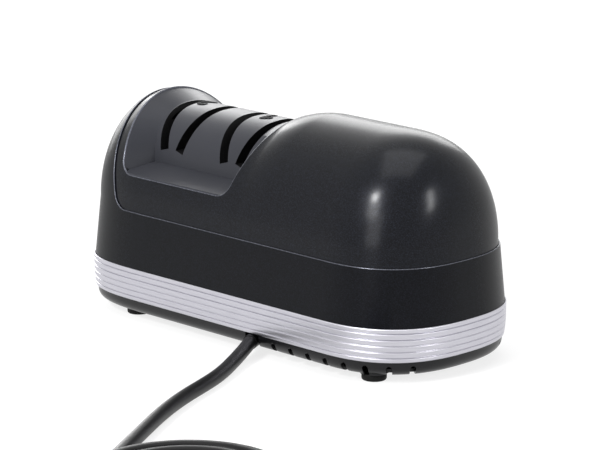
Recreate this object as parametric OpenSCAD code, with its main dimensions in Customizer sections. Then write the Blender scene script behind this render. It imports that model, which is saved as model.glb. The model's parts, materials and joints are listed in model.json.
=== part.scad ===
// Electric knife sharpener with two grinding stages.
// Millimetres. +Z is up, +X runs to the rounded motor end and +Y faces the user.
// The origin is on the table, under the middle of the body.

/* [Body] */
// Length of the body from tip to tip
body_l = 220; // [208:1:240]
// Width of the body across the metal band
body_w = 98.4; // [94:0.4:110]
// Height from the table to the top of the motor cover
body_h = 106.5; // [102:0.5:116]
// Height of the rubber feet
foot_h = 3.5; // [2:0.5:6]
// Diameter of the rubber feet
foot_d = 11.5; // [9:0.5:14]
// Height of the base pan that shows under the band
pan_h = 6.8; // [6:0.1:9]
// Radius of the base pan's lower edge
pan_round = 5; // [3:0.5:6]
// Height of the metal band
band_h = 15.7; // [13:0.1:20]
// Height of the lower housing from the band to the seam
housing_h = 27; // [24:1:32]
// Thickness of the moulded walls
wall = 2.6; // [2:0.1:3]
// How far the lower housing stands back where it meets the band
band_stand = 0.6; // [0.3:0.1:1.5]
// Slope of the lower housing's walls
draft = 5; // [3:0.5:6]
// How far the upper cover steps back at the seam
seam_step = 0.7; // [0.4:0.1:1.2]

/* [Metal band] */
// Distance between the band's grooves
groove_pitch = 2.85; // [2.4:0.05:3.2]
// Width of a groove
groove_w = 0.8; // [0.5:0.1:1.2]
// Depth of a groove
groove_depth = 0.5; // [0.3:0.1:0.8]

/* [Air vents] */
// Width of an air vent
vent_w = 2.8; // [2:0.1:4]
// Distance between air vents along the pan's edge
vent_pitch = 11; // [8:0.5:14]
// Height of an air vent's upper end above the pan's lower face
vent_rise = 3.2; // [2:0.1:4.5]

/* [Knife head] */
// Distance from the left tip to the middle of the fine stage
fine_from_tip = 50.5; // [48:0.5:54]
// Distance between the middles of the two stages
stage_pitch = 41; // [39:0.5:44]
// Distance between the two slots of a stage at the top of the barrel
slot_spread = 20.5; // [20:0.5:22]
// Width of a knife slot
slot_w = 5.4; // [5:0.1:6]
// Lean of a knife slot, which is the angle ground on each side of the edge
slot_lean = 15.5; // [13:0.5:18]
// Depth of a knife slot below the top of the barrel
slot_depth = 19.5; // [17:0.5:22]
// Half-width of the barrel that holds the slots
barrel_r = 26; // [24:0.5:28]
// Depth of the barrel's top below the top of the cover
barrel_drop = 7.5; // [5:0.5:9]
// Height of the barrel above the shelves at its sides
barrel_rise = 25.6; // [24:0.2:28]
// Slope of the shelves from the barrel down to the cover's edge
shelf_slope = 9.5; // [5:0.5:14]
// Thickness of the head's moulding
head_wall = 2.4; // [2:0.1:2.8]
// Lean of the cover's edge at both ends of the recess
rim_lean = 16.5; // [12:0.5:20]
// Radius of the recess's lower corners
rim_round = 8; // [5:0.5:11]
// Width of the cover's rim between the recess and the end cap
rim_w = 6.5; // [5:0.5:9]

/* [Grinding wheels] */
// Diameter of a grinding wheel
wheel_d = 48; // [42:1:50]
// Distance between the two grinding faces of a stage
wheel_gap = 9; // [8:0.5:10]
// Depth of the spindle below the top of the barrel
spindle_drop = 37; // [35:1:41]
// Diameter of the spindle
shaft_d = 6; // [5:0.5:7]

/* [Motor] */
// Diameter of the motor can
motor_d = 44; // [38:1:46]
// Length of the motor can
motor_l = 48; // [42:1:52]
// Distance from the motor's back to the right tip of the body
motor_from_tip = 30; // [27:1:34]
// Thickness of the motor can's steel
can_wall = 1.6; // [1:0.1:2]
// Diameter of the cooling fan
fan_d = 36; // [30:1:40]
// Thickness of the brackets that carry the spindle
bracket_t = 6; // [4:0.5:8]

/* [Switch] */
// Distance of the switch from the middle of the body
switch_x = 24; // [18:1:28]
// Width of the rocker
rocker_w = 18.4; // [16:0.2:20]
// Height of the rocker
rocker_h = 10; // [8:0.5:12]
// Angle between the rocker's two positions
rocker_swing = 24; // [16:1:28]

/* [Cord] */
// Diameter of the cord
cord_d = 6.5; // [6:0.1:7]
// Number of turns in the coil
coil_turns = 4.25; // [3.25:1:6.25]
// Diameter of the coil in the middle of its turns
coil_d = 71; // [66:1:80]
// Length of a plug pin
pin_l = 19; // [18:0.5:20]

/* [Hidden] */
$fn = 48;

// Small gap between pieces that slide or press together
fit = 0.05;
// Gap that shows between two mouldings
seam_gap = 0.35;
// Overlap that makes a cut pass right through
cut = 1;
// Longer than anything that is cut
big = 400;

// Heights of the layers, from the table up
pan_z = foot_h;
band_z = pan_z + pan_h;
housing_z = band_z + band_h;
seam_z = housing_z + housing_h;
// Height from which the sides curve over into the roof
spring_z = seam_z + 2;
arch_h = body_h - spring_z;

// The outline has straight sides and two rounded ends, the left one squarer
half_w = body_w / 2;
left_tip = -body_l / 2;
right_tip = body_l / 2;
left_end = 58;
right_end = 47.3;
left_power = 3.48;
right_power = 2.49;
left_dome = 3.8;
right_dome = 2.7;
left_c = left_tip + left_end;
right_c = right_tip - right_end;
end_steps = 24;

// Insets of each layer's face from the band's face, those of the sloping walls at their top
pan_inset = 1.6;
housing_inset = band_stand + (spring_z - housing_z) * tan(draft);
cover_inset = housing_inset + seam_step;
band_t = 3;
upstand_inset = band_t + 2 * fit;
upstand_t = 2.4;

// Places along the knife head
fine_x = left_tip + fine_from_tip;
coarse_x = fine_x + stage_pitch;
barrel_z = body_h - barrel_drop;
foot_of_barrel = barrel_z - barrel_rise;
shelf_z = foot_of_barrel - (half_w - cover_inset - barrel_r) * tan(shelf_slope);
barrel_power = 2.3;
rim_left = fine_x - 15.5;
rim_right = coarse_x + 14;
barrel_left = fine_x - 11.2;
barrel_right = coarse_x + 8.6;
barrel_left_lean = 6;
rim_step = 0.4;
flange_w = 3;

// The cover dips a little where it rounds off towards the recess
dip = 2.7;
dip_x = rim_right + (body_h - shelf_z) * tan(rim_lean);
dip_w = 16;

// Spindle line
spindle_z = barrel_z - spindle_drop;
shaft_r = shaft_d / 2;
bush_r = shaft_r + 2;
bush_l = bracket_t + 2;
bracket_reach = 24;
bracket_left_x = fine_x - bracket_reach;
bracket_right_x = coarse_x + bracket_reach;
bracket_foot_w = 10;
bracket_foot_t = 3;
pan_floor = 2.5;
pad_h = 4;
pad_z = pan_z + pan_floor + pad_h;
motor_back = right_tip - motor_from_tip;
motor_front = motor_back - motor_l;
motor_nose = 3;
coupling_gap = 1;
coupling_from = bracket_right_x + bush_l / 2 + coupling_gap;
coupling_to = motor_front - motor_nose - coupling_gap;
coupling_mid = (coupling_from + coupling_to) / 2;
screw_r = 1.5;
screw_hole_r = 1.65;

function share(along, reach, power) =
  along <= 0 ? 1 : pow(max(0, 1 - pow(along / reach, power)), 1 / power);

function curve(t, power) = sign(t) * pow(abs(t), 2 / power);

// Outline of the body seen from above, set in from the band's face
function outline(inset) = concat(
  [for (i = [0:end_steps]) let (t = -90 + 180 * i / end_steps) [
    right_c + (right_end - inset) * curve(cos(t), right_power),
    (half_w - inset) * curve(sin(t), right_power)
  ]],
  [for (i = [0:end_steps]) let (t = 90 + 180 * i / end_steps) [
    left_c + (left_end - inset) * curve(cos(t), left_power),
    (half_w - inset) * curve(sin(t), left_power)
  ]]
);

function dip_at(x) = dip * pow(max(0, 1 - abs(x - dip_x) / dip_w), 2);

// Half-width of the body and rise of its roof at a place along it
function width_at(x, inset) = (half_w - inset) * (x < left_c
  ? share(left_c - x, left_end - inset, left_power)
  : share(x - right_c, right_end - inset, right_power));

function rise_at(x, inset) = (arch_h + cover_inset - inset - dip_at(x)) * (x < left_c
  ? share(left_c - x, left_end - inset, left_dome)
  : share(x - right_c, right_end - inset, right_dome));

// Places along the body, closer together towards its tips, as an end and a share of its reach
function stations(steps) = concat(
  [for (i = [1:steps]) [-1, pow(cos(90 * pow(i / steps, 1.5)), 2 / left_power)]],
  [for (i = [-1:4]) [0, dip_x + dip_w * i / 4]],
  [for (i = [steps:-1:1]) [1, pow(cos(90 * pow(i / steps, 1.5)), 2 / right_power)]]
);

function place(station, inset) = station[0] == 0 ? station[1] : station[0] < 0
  ? left_c - (left_end - inset) * station[1]
  : right_c + (right_end - inset) * station[1];

// Cross-section of the body: walls that slope out downwards, and an arched roof
function section(station, inset, low_z, steps) = let (
    x = place(station, inset),
    a = width_at(x, inset),
    h = rise_at(x, inset),
    low_inset = inset - (spring_z - low_z) * tan(draft),
    low_x = place(station, low_inset),
    low_a = width_at(low_x, low_inset)
  )
  concat(
    [[low_x, -low_a, low_z]],
    [for (i = [0:steps]) [x, -a * cos(180 * i / steps), spring_z + h * sin(180 * i / steps)]],
    [[low_x, low_a, low_z]]
  );

// Flat strips that close the end of a ring whose two halves mirror each other
function end_strips(n, from, way) = [for (j = [0:floor(n / 2) - 1])
  if (j + 1 <= n - 2 - j)
    let (strip = j + 1 == n - 2 - j ? [j, j + 1, n - 1 - j] : [j, j + 1, n - 2 - j, n - 1 - j], k = len(strip) - 1)
    [for (i = [0:k]) from + strip[way > 0 ? i : k - i]]];

// Closed skin over rings that all have as many points
module loft(rings) {
  n = len(rings[0]);
  last = len(rings) - 1;
  polyhedron(
    points = [for (ring = rings, p = ring) p],
    faces = concat(
      end_strips(n, 0, -1),
      [for (i = [0:last - 1], j = [0:n - 1])
        [i * n + j, i * n + (j + 1) % n, (i + 1) * n + (j + 1) % n, (i + 1) * n + j]],
      end_strips(n, last * n, 1)
    )
  );
}

// Closed skin over level outlines, given from the top down as heights and insets
module stack(layers) {
  loft([for (layer = layers) let (line = outline(layer[1])) [for (p = line) [p[0], p[1], layer[0]]]]);
}

// One moulding with a smooth skin, kept at the size that it is drawn
module moulding() {
  resize([0, 0, 0]) union() children();
}

module body_form(inset, low_z, end_stations, arch_steps) {
  loft([for (station = stations(end_stations)) section(station, inset, low_z, arch_steps)]);
}

// Extrudes a side view, drawn in X and Z, across the body
module across() {
  rotate([90, 0, 0]) linear_extrude(height = big, center = true) children();
}

// Turns a shape drawn along +Z to run along the spindle from x
module on_spindle(x) {
  translate([x, 0, spindle_z]) rotate([0, 90, 0]) children();
}

module at_corners(x_left, x_right, y) {
  for (x = [x_left, x_right], side = [-1, 1]) translate([x, side * y, 0]) children();
}

module tube(r_out, r_in, h) {
  difference() {
    cylinder(r = r_out, h = h);
    translate([0, 0, -cut]) cylinder(r = r_in, h = h + 2 * cut);
  }
}

// ---- Housing ----

// Side view of the recess in the cover, larger or smaller than its edge
module recess_side(grow) {
  rise = body_h + 20 - shelf_z;
  offset(delta = grow) offset(r = rim_round) offset(delta = -rim_round) polygon([
    [rim_left, shelf_z],
    [rim_right, shelf_z],
    [rim_right + rise * tan(rim_lean), shelf_z + rise],
    [rim_left - rise * tan(rim_lean), shelf_z + rise]
  ]);
}

// Side view of what belongs to the lower housing: all below the seam, and the end cap
module housing_side() {
  rise = body_h + 20 - seam_z;
  seam_foot = rim_left - rim_w / cos(rim_lean) + (shelf_z - seam_z) * tan(rim_lean);
  offset(r = -rim_round) offset(delta = rim_round) polygon([
    [left_tip - 20, 0],
    [right_tip + 20, 0],
    [right_tip + 20, seam_z],
    [seam_foot, seam_z],
    [seam_foot - rise * tan(rim_lean), seam_z + rise],
    [left_tip - 20, seam_z + rise]
  ]);
}

lip_h = 4.5;
lip_t = 1.6;

module upper_cover() color([0.13, 0.135, 0.15]) moulding() {
  difference() {
    body_form(cover_inset, seam_z - cut, 14, 30);
    body_form(cover_inset + wall, seam_z - 2 * cut, 10, 18);
    across() housing_side();
    across() recess_side(0);
  }
  // Lip that locates the cover inside the lower housing
  intersection() {
    difference() {
      body_form(housing_inset + wall + fit, seam_z - lip_h, 10, 18);
      body_form(housing_inset + wall + fit + lip_t, seam_z - lip_h - cut, 10, 18);
    }
    translate([rim_left, -big / 2, seam_z - lip_h]) cube([big, big, lip_h + 1.5]);
  }
}

post_r = 4.5;
post_x_left = left_c - 8;
post_x_right = right_c + 8;
post_y = half_w - 13;
post_z = housing_z - 6;
post_top = seam_z - lip_h - 2;

switch_z = (housing_z + seam_z) / 2;
switch_box_w = rocker_w + 4.6;
switch_box_h = rocker_h + 3.4;
bezel_w = switch_box_w + 3.2;
bezel_h = switch_box_h + 3.2;
switch_seat = half_w - housing_inset + 0.3;

module lower_housing() color([0.15, 0.155, 0.17]) moulding() {
  difference() {
    intersection() {
      difference() {
        body_form(housing_inset, housing_z, 14, 30);
        body_form(housing_inset + wall, housing_z - cut, 10, 18);
      }
      across() housing_side();
    }
    // Flat recess and cut-out for the switch
    translate([switch_x - bezel_w / 2 - 1, switch_seat, switch_z - bezel_h / 2 - 1])
      cube([bezel_w + 2, 4 * wall, bezel_h + 2]);
    translate([switch_x, half_w - housing_inset, switch_z])
      cube([switch_box_w + 2 * fit, 4 * wall, switch_box_h + 2 * fit], center = true);
  }
  // Posts for the base screws, each tied to the wall by a web
  difference() {
    union() {
      at_corners(post_x_left, post_x_right, post_y)
        translate([0, 0, post_z]) cylinder(r = post_r, h = post_top - post_z, $fn = 16);
      at_corners(post_x_left, post_x_right, (post_y + half_w - housing_inset) / 2)
        translate([0, 0, (housing_z + post_top) / 2])
          cube([2, half_w - post_y - housing_inset - wall, post_top - housing_z], center = true);
    }
    at_corners(post_x_left, post_x_right, post_y)
      translate([0, 0, post_z - cut]) cylinder(r = screw_hole_r, h = post_top - post_z - 4, $fn = 16);
  }
}

groove_count = 5;
groove_first = housing_z - (band_h - (groove_count - 1) * groove_pitch) / 2;
// The band's face leans in a little towards its lower edge
band_taper = 0.9;
function band_lean(z) = band_taper * pow((housing_z - z) / band_h, 4);

// Heights and insets of the band's face, from the top down
function band_face() = concat(
  [[housing_z, 0.3], [housing_z - 0.4, 0]],
  [for (i = [0:groove_count - 1], k = [-1:1]) let (z = groove_first - i * groove_pitch - k * groove_w / 2)
    [z, band_lean(z) + (k == 0 ? groove_depth : 0)]],
  [[band_z + 0.4, band_lean(band_z + 0.4)], [band_z, band_lean(band_z) + 0.3]]
);

module trim_band() color([0.86, 0.85, 0.88]) moulding() {
  difference() {
    stack(band_face());
    translate([0, 0, band_z - cut])
      linear_extrude(height = band_h + 2 * cut) polygon(outline(band_t));
  }
}

round_steps = 5;

// Heights and insets of the pan's face, from the top down
function pan_face() = concat(
  [[band_z, pan_inset]],
  [for (i = [0:round_steps]) let (t = 90 * i / round_steps)
    [pan_z + pan_round * (1 - sin(t)), pan_inset + pan_round * (1 - cos(t))]]
);

// Distance walked along a line of points, and the place and heading after a distance
function step_l(line, i) = norm(line[i + 1] - line[i]);
function walk(line, s, i = 0) =
  s <= step_l(line, i) || i == len(line) - 2
    ? let (u = (line[i + 1] - line[i]) / step_l(line, i)) [line[i] + u * s, atan2(u[1], u[0])]
    : walk(line, s - step_l(line, i), i + 1);

// Rear edge of the pan from the first vent round to the right tip
vent_start = 31.8;
vent_count = 8;
vent_reach = 8;
vent_line = concat(
  [[vent_start, -(half_w - pan_inset)]],
  [for (i = [0:40]) let (t = -90 + 90 * i / 40) [
    right_c + (right_end - pan_inset) * curve(cos(t), right_power),
    (half_w - pan_inset) * curve(sin(t), right_power)
  ]]
);

// One vent, drawn at the pan's edge with the outside on its right hand
module vent() {
  translate([0, vent_reach, 0]) rotate([90, 0, 0]) linear_extrude(height = vent_reach + 3) polygon([
    [-vent_w / 2, -cut],
    [vent_w / 2, -cut],
    [vent_w / 2, pan_z + vent_rise - vent_w / 3],
    [vent_w / 5, pan_z + vent_rise],
    [-vent_w / 5, pan_z + vent_rise],
    [-vent_w / 2, pan_z + vent_rise - vent_w / 3]
  ]);
}

relief_turn = 27;
relief_at = [18, -(half_w - pan_inset), pan_z + 3.1];
relief_nose = 3;
relief_l = 25;
relief_r = 3.6;
relief_gap = 0.3;
collar_r = relief_r + 1.8;
collar_t = 3;

// Turns what is drawn along +X from the point where the cord leaves the pan
module at_relief() {
  translate(relief_at) rotate([0, 0, relief_turn - 90]) children();
}

pan_floor_z = pan_z + pan_floor;
foot_x_left = left_tip + 37;
foot_x_right = right_tip - 26;
foot_y = half_w - 14;
boss_drop = 0.3;
stem_r = 2.5;
bracket_screw_y = 18.6;
cradle_set = 8;
cradle_short = 18;
cradle_from = motor_front + cradle_set;
cradle_l = motor_l - cradle_short;
cradle_screw_y = 16;
board_gap = 1.75;
board_from = bracket_right_x + bracket_foot_w / 2 + board_gap;
board_l = cradle_from - board_gap - board_from;
board_x = board_from + board_l / 2;
board_w = 24;
board_z = pad_z;
clamp_s = -18;
clamp_screw_r = 9;

module base_pan() color([0.08, 0.08, 0.085]) moulding() {
  difference() {
    union() {
      stack(pan_face());
      // Upstand inside the band, which carries the lower housing
      translate([0, 0, band_z - cut])
        linear_extrude(height = band_h + cut) polygon(outline(upstand_inset));
    }
    // Hollow
    stack([
      [housing_z + cut, upstand_inset + upstand_t],
      [pan_floor_z + 2, upstand_inset + upstand_t],
      [pan_floor_z, upstand_inset + upstand_t + 2]
    ]);
    // Air vents round the motor end, front and rear
    for (i = [0:vent_count - 1], side = [0, 1]) mirror([0, side, 0])
      let (w = walk(vent_line, i * vent_pitch)) translate([w[0][0], w[0][1], 0])
        rotate([0, 0, w[1]]) vent();
    // Notch for the cord and its strain relief
    at_relief() translate([-relief_l - 1, -relief_r - relief_gap, -relief_at[2] - cut])
      cube([relief_l + 12, 2 * (relief_r + relief_gap), relief_at[2] + relief_r + relief_gap + cut]);
    at_relief() translate([-relief_l - 1, -collar_r - relief_gap, -relief_at[2] - cut])
      cube([collar_t + 2, 2 * (collar_r + relief_gap), relief_at[2] + cut]);
    // Room for the feet's bosses and the heads of the base screws
    at_corners(foot_x_left, foot_x_right, foot_y)
      translate([0, 0, -cut]) cylinder(r = foot_d / 2 - 1, h = pan_floor_z + 2 * cut, $fn = 16);
    at_corners(post_x_left, post_x_right, post_y)
      translate([0, 0, -cut]) cylinder(r = 3.4, h = pan_floor_z + cut, $fn = 16);
  }
  difference() {
    union() {
      at_corners(post_x_left, post_x_right, post_y)
        translate([0, 0, pan_z + 1.2]) cylinder(r = post_r, h = post_z - pan_z - 1.2, $fn = 16);
      at_corners(foot_x_left, foot_x_right, foot_y)
        translate([0, 0, pan_z - boss_drop]) cylinder(r = foot_d / 2 + 0.8, h = pan_floor + boss_drop + 0.2, $fn = 32);
      pan_pads(3.6);
    }
    at_corners(post_x_left, post_x_right, post_y) {
      translate([0, 0, -cut]) cylinder(r = screw_hole_r, h = big, $fn = 16);
      translate([0, 0, -cut]) cylinder(r = 3.4, h = pan_floor_z + 1 + cut, $fn = 16);
    }
    at_corners(foot_x_left, foot_x_right, foot_y)
      translate([0, 0, -cut]) cylinder(r = stem_r + 2 * fit, h = pan_floor_z + 2 * cut, $fn = 16);
    translate([0, 0, 1]) pan_pads(screw_hole_r);
  }
}

// Pads, or the holes in them, that carry the brackets, the cradle, the board and the clamp
module pan_pads(r) {
  h = pad_z - pan_floor_z + 0.5;
  translate([0, 0, pan_floor_z - 0.5]) {
    at_corners(bracket_left_x, bracket_right_x, bracket_screw_y) cylinder(r = r, h = h, $fn = 12);
    at_corners(cradle_from + 5, cradle_from + cradle_l - 5, cradle_screw_y)
      cylinder(r = r, h = h, $fn = 12);
    at_corners(board_x - board_l / 2 + 4, board_x + board_l / 2 - 4, board_w / 2 - 4)
      cylinder(r = r, h = h, $fn = 12);
  }
  for (side = [-1, 1]) at_relief() translate([clamp_s, side * clamp_screw_r, pan_floor_z - 0.5 - relief_at[2]])
    cylinder(r = r, h = h, $fn = 12);
}

module foot(x, y) color([0.05, 0.05, 0.05]) translate([x, y, 0]) {
  cylinder(r1 = foot_d / 2 - 0.5, r2 = foot_d / 2, h = 0.8);
  translate([0, 0, 0.8]) cylinder(d = foot_d, h = foot_h - boss_drop - 0.8);
  translate([0, 0, foot_h - cut]) cylinder(r = stem_r, h = pan_floor + cut + 0.5);
  translate([0, 0, pan_floor_z + 0.2 + fit]) cylinder(r1 = stem_r + 0.8, r2 = stem_r - 0.8, h = 2.2);
}

// Cross-headed screw with its head's seat at the origin and its point up
module screw_up(length, head_r) {
  difference() {
    translate([0, 0, -2]) cylinder(r = head_r, h = 2);
    for (turn = [0, 90]) rotate([0, 0, turn])
      translate([-head_r * 0.6, -0.4, -2 - cut]) cube([head_r * 1.2, 0.8, cut + 1]);
  }
  translate([0, 0, -0.5]) cylinder(r = screw_r, h = length + 0.5);
}

module screw_down(length, head_r) {
  mirror([0, 0, 1]) screw_up(length, head_r);
}

module base_screws() color([0.7, 0.7, 0.72])
  at_corners(post_x_left, post_x_right, post_y)
    translate([0, 0, pan_floor_z + 1]) screw_up(post_z - pan_floor_z + 8, 3);

// ---- Knife head ----

// Cross-section of the barrel, set in by the wall where it is hollow; it starts under the shelves
barrel_base = foot_of_barrel - 1.5;
function barrel_ring(inset) = [for (i = [0:28]) let (t = 180 * i / 28) [
  -(barrel_r - inset) * curve(cos(t), barrel_power),
  barrel_base + (barrel_z - barrel_base - inset) * curve(sin(t), barrel_power)
]];
head_low_z = shelf_z - 10;

// Ring at the barrel's end, in a plane that leans
function barrel_end(x, lean, inset) = concat(
  [[x, -(barrel_r - inset), head_low_z]],
  [for (p = barrel_ring(inset)) [x + max(0, p[1] - foot_of_barrel) * lean, p[0], p[1]]],
  [[x, barrel_r - inset, head_low_z]]
);

// Ring just under the cover's edge at an end of the recess
function rim_end(x, lean, inset) = let (
    low = asin((shelf_z - 4 - spring_z) / (arch_h - 2)),
    out = cover_inset + rim_step + inset,
    ring = [for (i = [0:28]) let (
        t = low + (180 - 2 * low) * i / 28,
        z = spring_z + (arch_h - rim_step - inset) * sin(t),
        at = x + (z - shelf_z) * lean,
        wide = width_at(at, out),
        high = rise_at(at, out)
      ) [at, -wide * cos(t), spring_z + high * sin(t)]]
  )
  concat(
    [[ring[0][0], ring[0][1], head_low_z]],
    ring,
    [[ring[28][0], ring[28][1], head_low_z]]
  );

function shifted(ring, x) = [for (p = ring) p + [x, 0, 0]];

// Solid under the head's surface, with the inset as wall thickness where it is hollow
module head_form(inset) {
  push = 0.85 * inset;
  rim_a = rim_end(rim_left - push, -tan(rim_lean), inset);
  rim_b = rim_end(rim_right + push, tan(rim_lean), inset);
  // Barrel, flaring out at both ends to the cover's edge
  loft([
    shifted(rim_a, -8),
    rim_a,
    barrel_end(barrel_left - push, -tan(barrel_left_lean), inset),
    barrel_end(barrel_right + push, tan(slot_lean), inset),
    rim_b,
    shifted(rim_b, 8)
  ]);
  // Shelves at both sides of the barrel, whose slopes run on inside it
  drop = inset == 0 ? 0 : head_wall;
  shelf_out = half_w;
  shelf_in = barrel_r - 8;
  translate([rim_left - 14, 0, 0]) rotate([90, 0, 90])
    linear_extrude(height = rim_right - rim_left + 28) polygon([
      [-shelf_out, head_low_z + 1],
      [-shelf_out, foot_of_barrel - drop - (shelf_out - barrel_r) * tan(shelf_slope)],
      [-shelf_in, foot_of_barrel - drop + (barrel_r - shelf_in) * tan(shelf_slope)],
      [shelf_in, foot_of_barrel - drop + (barrel_r - shelf_in) * tan(shelf_slope)],
      [shelf_out, foot_of_barrel - drop - (shelf_out - barrel_r) * tan(shelf_slope)],
      [shelf_out, head_low_z + 1]
    ]);
}

// Leaning slab of a knife slot; side is -1 for the left slot of a stage
module slot_slab(x, side, w, low, y_half) {
  translate([x + side * slot_spread / 2, 0, barrel_z]) rotate([0, side * slot_lean, 0])
    translate([-w / 2, -y_half, -low]) cube([w, 2 * y_half, low + 30]);
}

guide_t = 1.6;
guide_depth = 24;

module head_insert() color([0.27, 0.27, 0.3]) moulding() difference() {
  union() {
    difference() {
      intersection() {
        head_form(0);
        union() {
          intersection() {
            body_form(cover_inset, spring_z - cut, 14, 30);
            across() recess_side(-seam_gap);
          }
          intersection() {
            body_form(cover_inset + wall + 2 * fit, spring_z - cut, 10, 18);
            across() recess_side(flange_w);
          }
        }
      }
      head_form(head_wall);
      translate([-big / 2, -big / 2, head_low_z - 20]) cube([big, big, 20 + 6]);
    }
    // Guide walls inside the barrel that line the slots, clear of the wheels
    intersection() {
      translate([barrel_left, 0, 0]) rotate([90, 0, 90]) linear_extrude(height = barrel_right - barrel_left)
        polygon(barrel_ring(head_wall / 2));
      difference() {
        for (x = [fine_x, coarse_x], side = [-1, 1])
          slot_slab(x, side, slot_w + 2 * guide_t, guide_depth, barrel_r);
        for (x = [fine_x, coarse_x])
          on_spindle(x - wheel_gap / 2 - 1.5) cylinder(r = wheel_d / 2 + 1.5, h = wheel_gap + 3, $fn = 64);
      }
    }
  }
  for (x = [fine_x, coarse_x], side = [-1, 1]) slot_slab(x, side, slot_w, slot_depth, big);
}

// ---- Spindle and wheels ----

module bracket(x) color([0.35, 0.36, 0.38]) difference() {
  union() {
    translate([x - bracket_t / 2, 0, 0]) rotate([90, 0, 90]) linear_extrude(height = bracket_t) hull() {
      translate([0, spindle_z]) circle(r = bush_r + 6, $fn = 32);
      translate([-15, pad_z]) square([30, 4]);
    }
    translate([x - bracket_foot_w / 2, -bracket_screw_y - 4, pad_z])
      cube([bracket_foot_w, 2 * bracket_screw_y + 8, bracket_foot_t]);
  }
  on_spindle(x - bracket_t) cylinder(r = bush_r + fit, h = 2 * bracket_t);
  for (side = [-1, 1]) translate([x, side * bracket_screw_y, pad_z - cut])
    cylinder(r = screw_hole_r, h = bracket_foot_t + 2 * cut);
}

module bracket_left() bracket(bracket_left_x);
module bracket_right() bracket(bracket_right_x);

module bracket_screws() color([0.7, 0.7, 0.72])
  at_corners(bracket_left_x, bracket_right_x, bracket_screw_y)
    translate([0, 0, pad_z + bracket_foot_t]) screw_down(bracket_foot_t + pad_h - 1, 2.8);

// Flanged bush; its flange faces the wheels
module bush(x, side) color([0.72, 0.55, 0.3]) on_spindle(x) mirror([0, 0, side]) difference() {
  union() {
    translate([0, 0, -bush_l / 2]) cylinder(r = bush_r, h = bush_l);
    translate([0, 0, bracket_t / 2 + fit]) cylinder(r = bush_r + 1.6, h = 1.2);
  }
  translate([0, 0, -bush_l]) cylinder(r = shaft_r + fit, h = 2 * bush_l);
}

module bush_left() bush(bracket_left_x, 0);
module bush_right() bush(bracket_right_x, 1);

shaft_from = bracket_left_x - bush_l / 2 - 1.5;

module wheel_shaft() color([0.75, 0.76, 0.78])
  on_spindle(shaft_from) cylinder(r = shaft_r, h = coupling_mid - 0.5 - shaft_from);

module coupling() color([0.62, 0.63, 0.65]) on_spindle(coupling_from) difference() {
  cylinder(r = shaft_r + 4, h = coupling_to - coupling_from);
  translate([0, 0, -cut]) cylinder(r = shaft_r + fit / 2, h = coupling_to - coupling_from + 2 * cut);
  for (z = [0.25, 0.75]) translate([0, 0, z * (coupling_to - coupling_from)])
    rotate([90, 0, 0]) cylinder(r = 1.25, h = 20);
}

hub_r = shaft_r + 4;
hub_gap = 1;
rim_wide = 8;

// Cupped wheel, drawn with its grinding face up
module wheel(tone) color(tone) rotate_extrude() polygon([
  [shaft_r + fit / 2, hub_gap],
  [hub_r, hub_gap],
  [hub_r, wheel_gap / 2 - 2.5],
  [wheel_d / 2 - rim_wide - 1, wheel_gap / 2 - 2.5],
  [wheel_d / 2 - rim_wide, wheel_gap / 2 - 2.1],
  [wheel_d / 2 - 0.4, wheel_gap / 2 - 2.1],
  [wheel_d / 2, wheel_gap / 2 - 1.7],
  [wheel_d / 2, wheel_gap / 2 - 0.3],
  [wheel_d / 2 - 0.3, wheel_gap / 2],
  [wheel_d / 2 - rim_wide, wheel_gap / 2],
  [wheel_d / 2 - rim_wide - 1.5, wheel_gap / 2 - 1.1],
  [shaft_r + fit / 2, wheel_gap / 2 - 1.1]
]);

fine_tone = [0.8, 0.78, 0.72];
coarse_tone = [0.5, 0.5, 0.52];

module fine_wheel_left() on_spindle(fine_x) mirror([0, 0, 1]) wheel(fine_tone);
module fine_wheel_right() on_spindle(fine_x) wheel(fine_tone);
module coarse_wheel_left() on_spindle(coarse_x) mirror([0, 0, 1]) wheel(coarse_tone);
module coarse_wheel_right() on_spindle(coarse_x) wheel(coarse_tone);

// Spring washer that holds the two wheels of a stage apart
module washer(x) color([0.6, 0.6, 0.62])
  on_spindle(x - hub_gap) tube(hub_r - 1.5, shaft_r + fit / 2, 2 * hub_gap);

module fine_washer() washer(fine_x);
module coarse_washer() washer(coarse_x);

// Clips that keep the wheels from sliding outwards
module shaft_clips() color([0.55, 0.55, 0.58])
  for (x = [fine_x, coarse_x], side = [-1, 1])
    on_spindle(x + side * (wheel_gap / 2 - 1.1) - (side < 0 ? 0.8 : 0)) tube(shaft_r + 2.2, shaft_r + fit / 2, 0.8);

// ---- Motor ----

motor_r = motor_d / 2;
magnet_r = motor_r - can_wall - fit;
magnet_t = 4;
core_r = magnet_r - magnet_t - 0.8;
core_set = 9;
core_short = 24;
core_from = motor_front + core_set;
core_l = motor_l - core_short;
turn_l = 4.5;
commutator_from = core_from + core_l + turn_l + 0.5;
commutator_l = 6.5;
commutator_r = shaft_r + 2.6;
end_cap_t = 6;

module motor_can() color([0.6, 0.61, 0.63]) on_spindle(motor_front) difference() {
  union() {
    cylinder(r = motor_r, h = motor_l);
    translate([0, 0, -motor_nose]) cylinder(r = bush_r + 2.5, h = motor_nose + cut);
  }
  translate([0, 0, 2]) cylinder(r = motor_r - can_wall, h = motor_l);
  translate([0, 0, -motor_nose - cut]) cylinder(r = bush_r + fit, h = motor_nose + 2 + 2 * cut);
  for (i = [0:5]) rotate([0, 0, 60 * i]) translate([motor_r * 0.62, 0, -cut]) cylinder(r = 3, h = 4);
}

module motor_magnets() color([0.25, 0.25, 0.27]) on_spindle(core_from - 2)
  for (turn = [-65, 115]) rotate([0, 0, turn]) rotate_extrude(angle = 130)
    translate([magnet_r - magnet_t, 0]) square([magnet_t, core_l + 4]);

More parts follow.
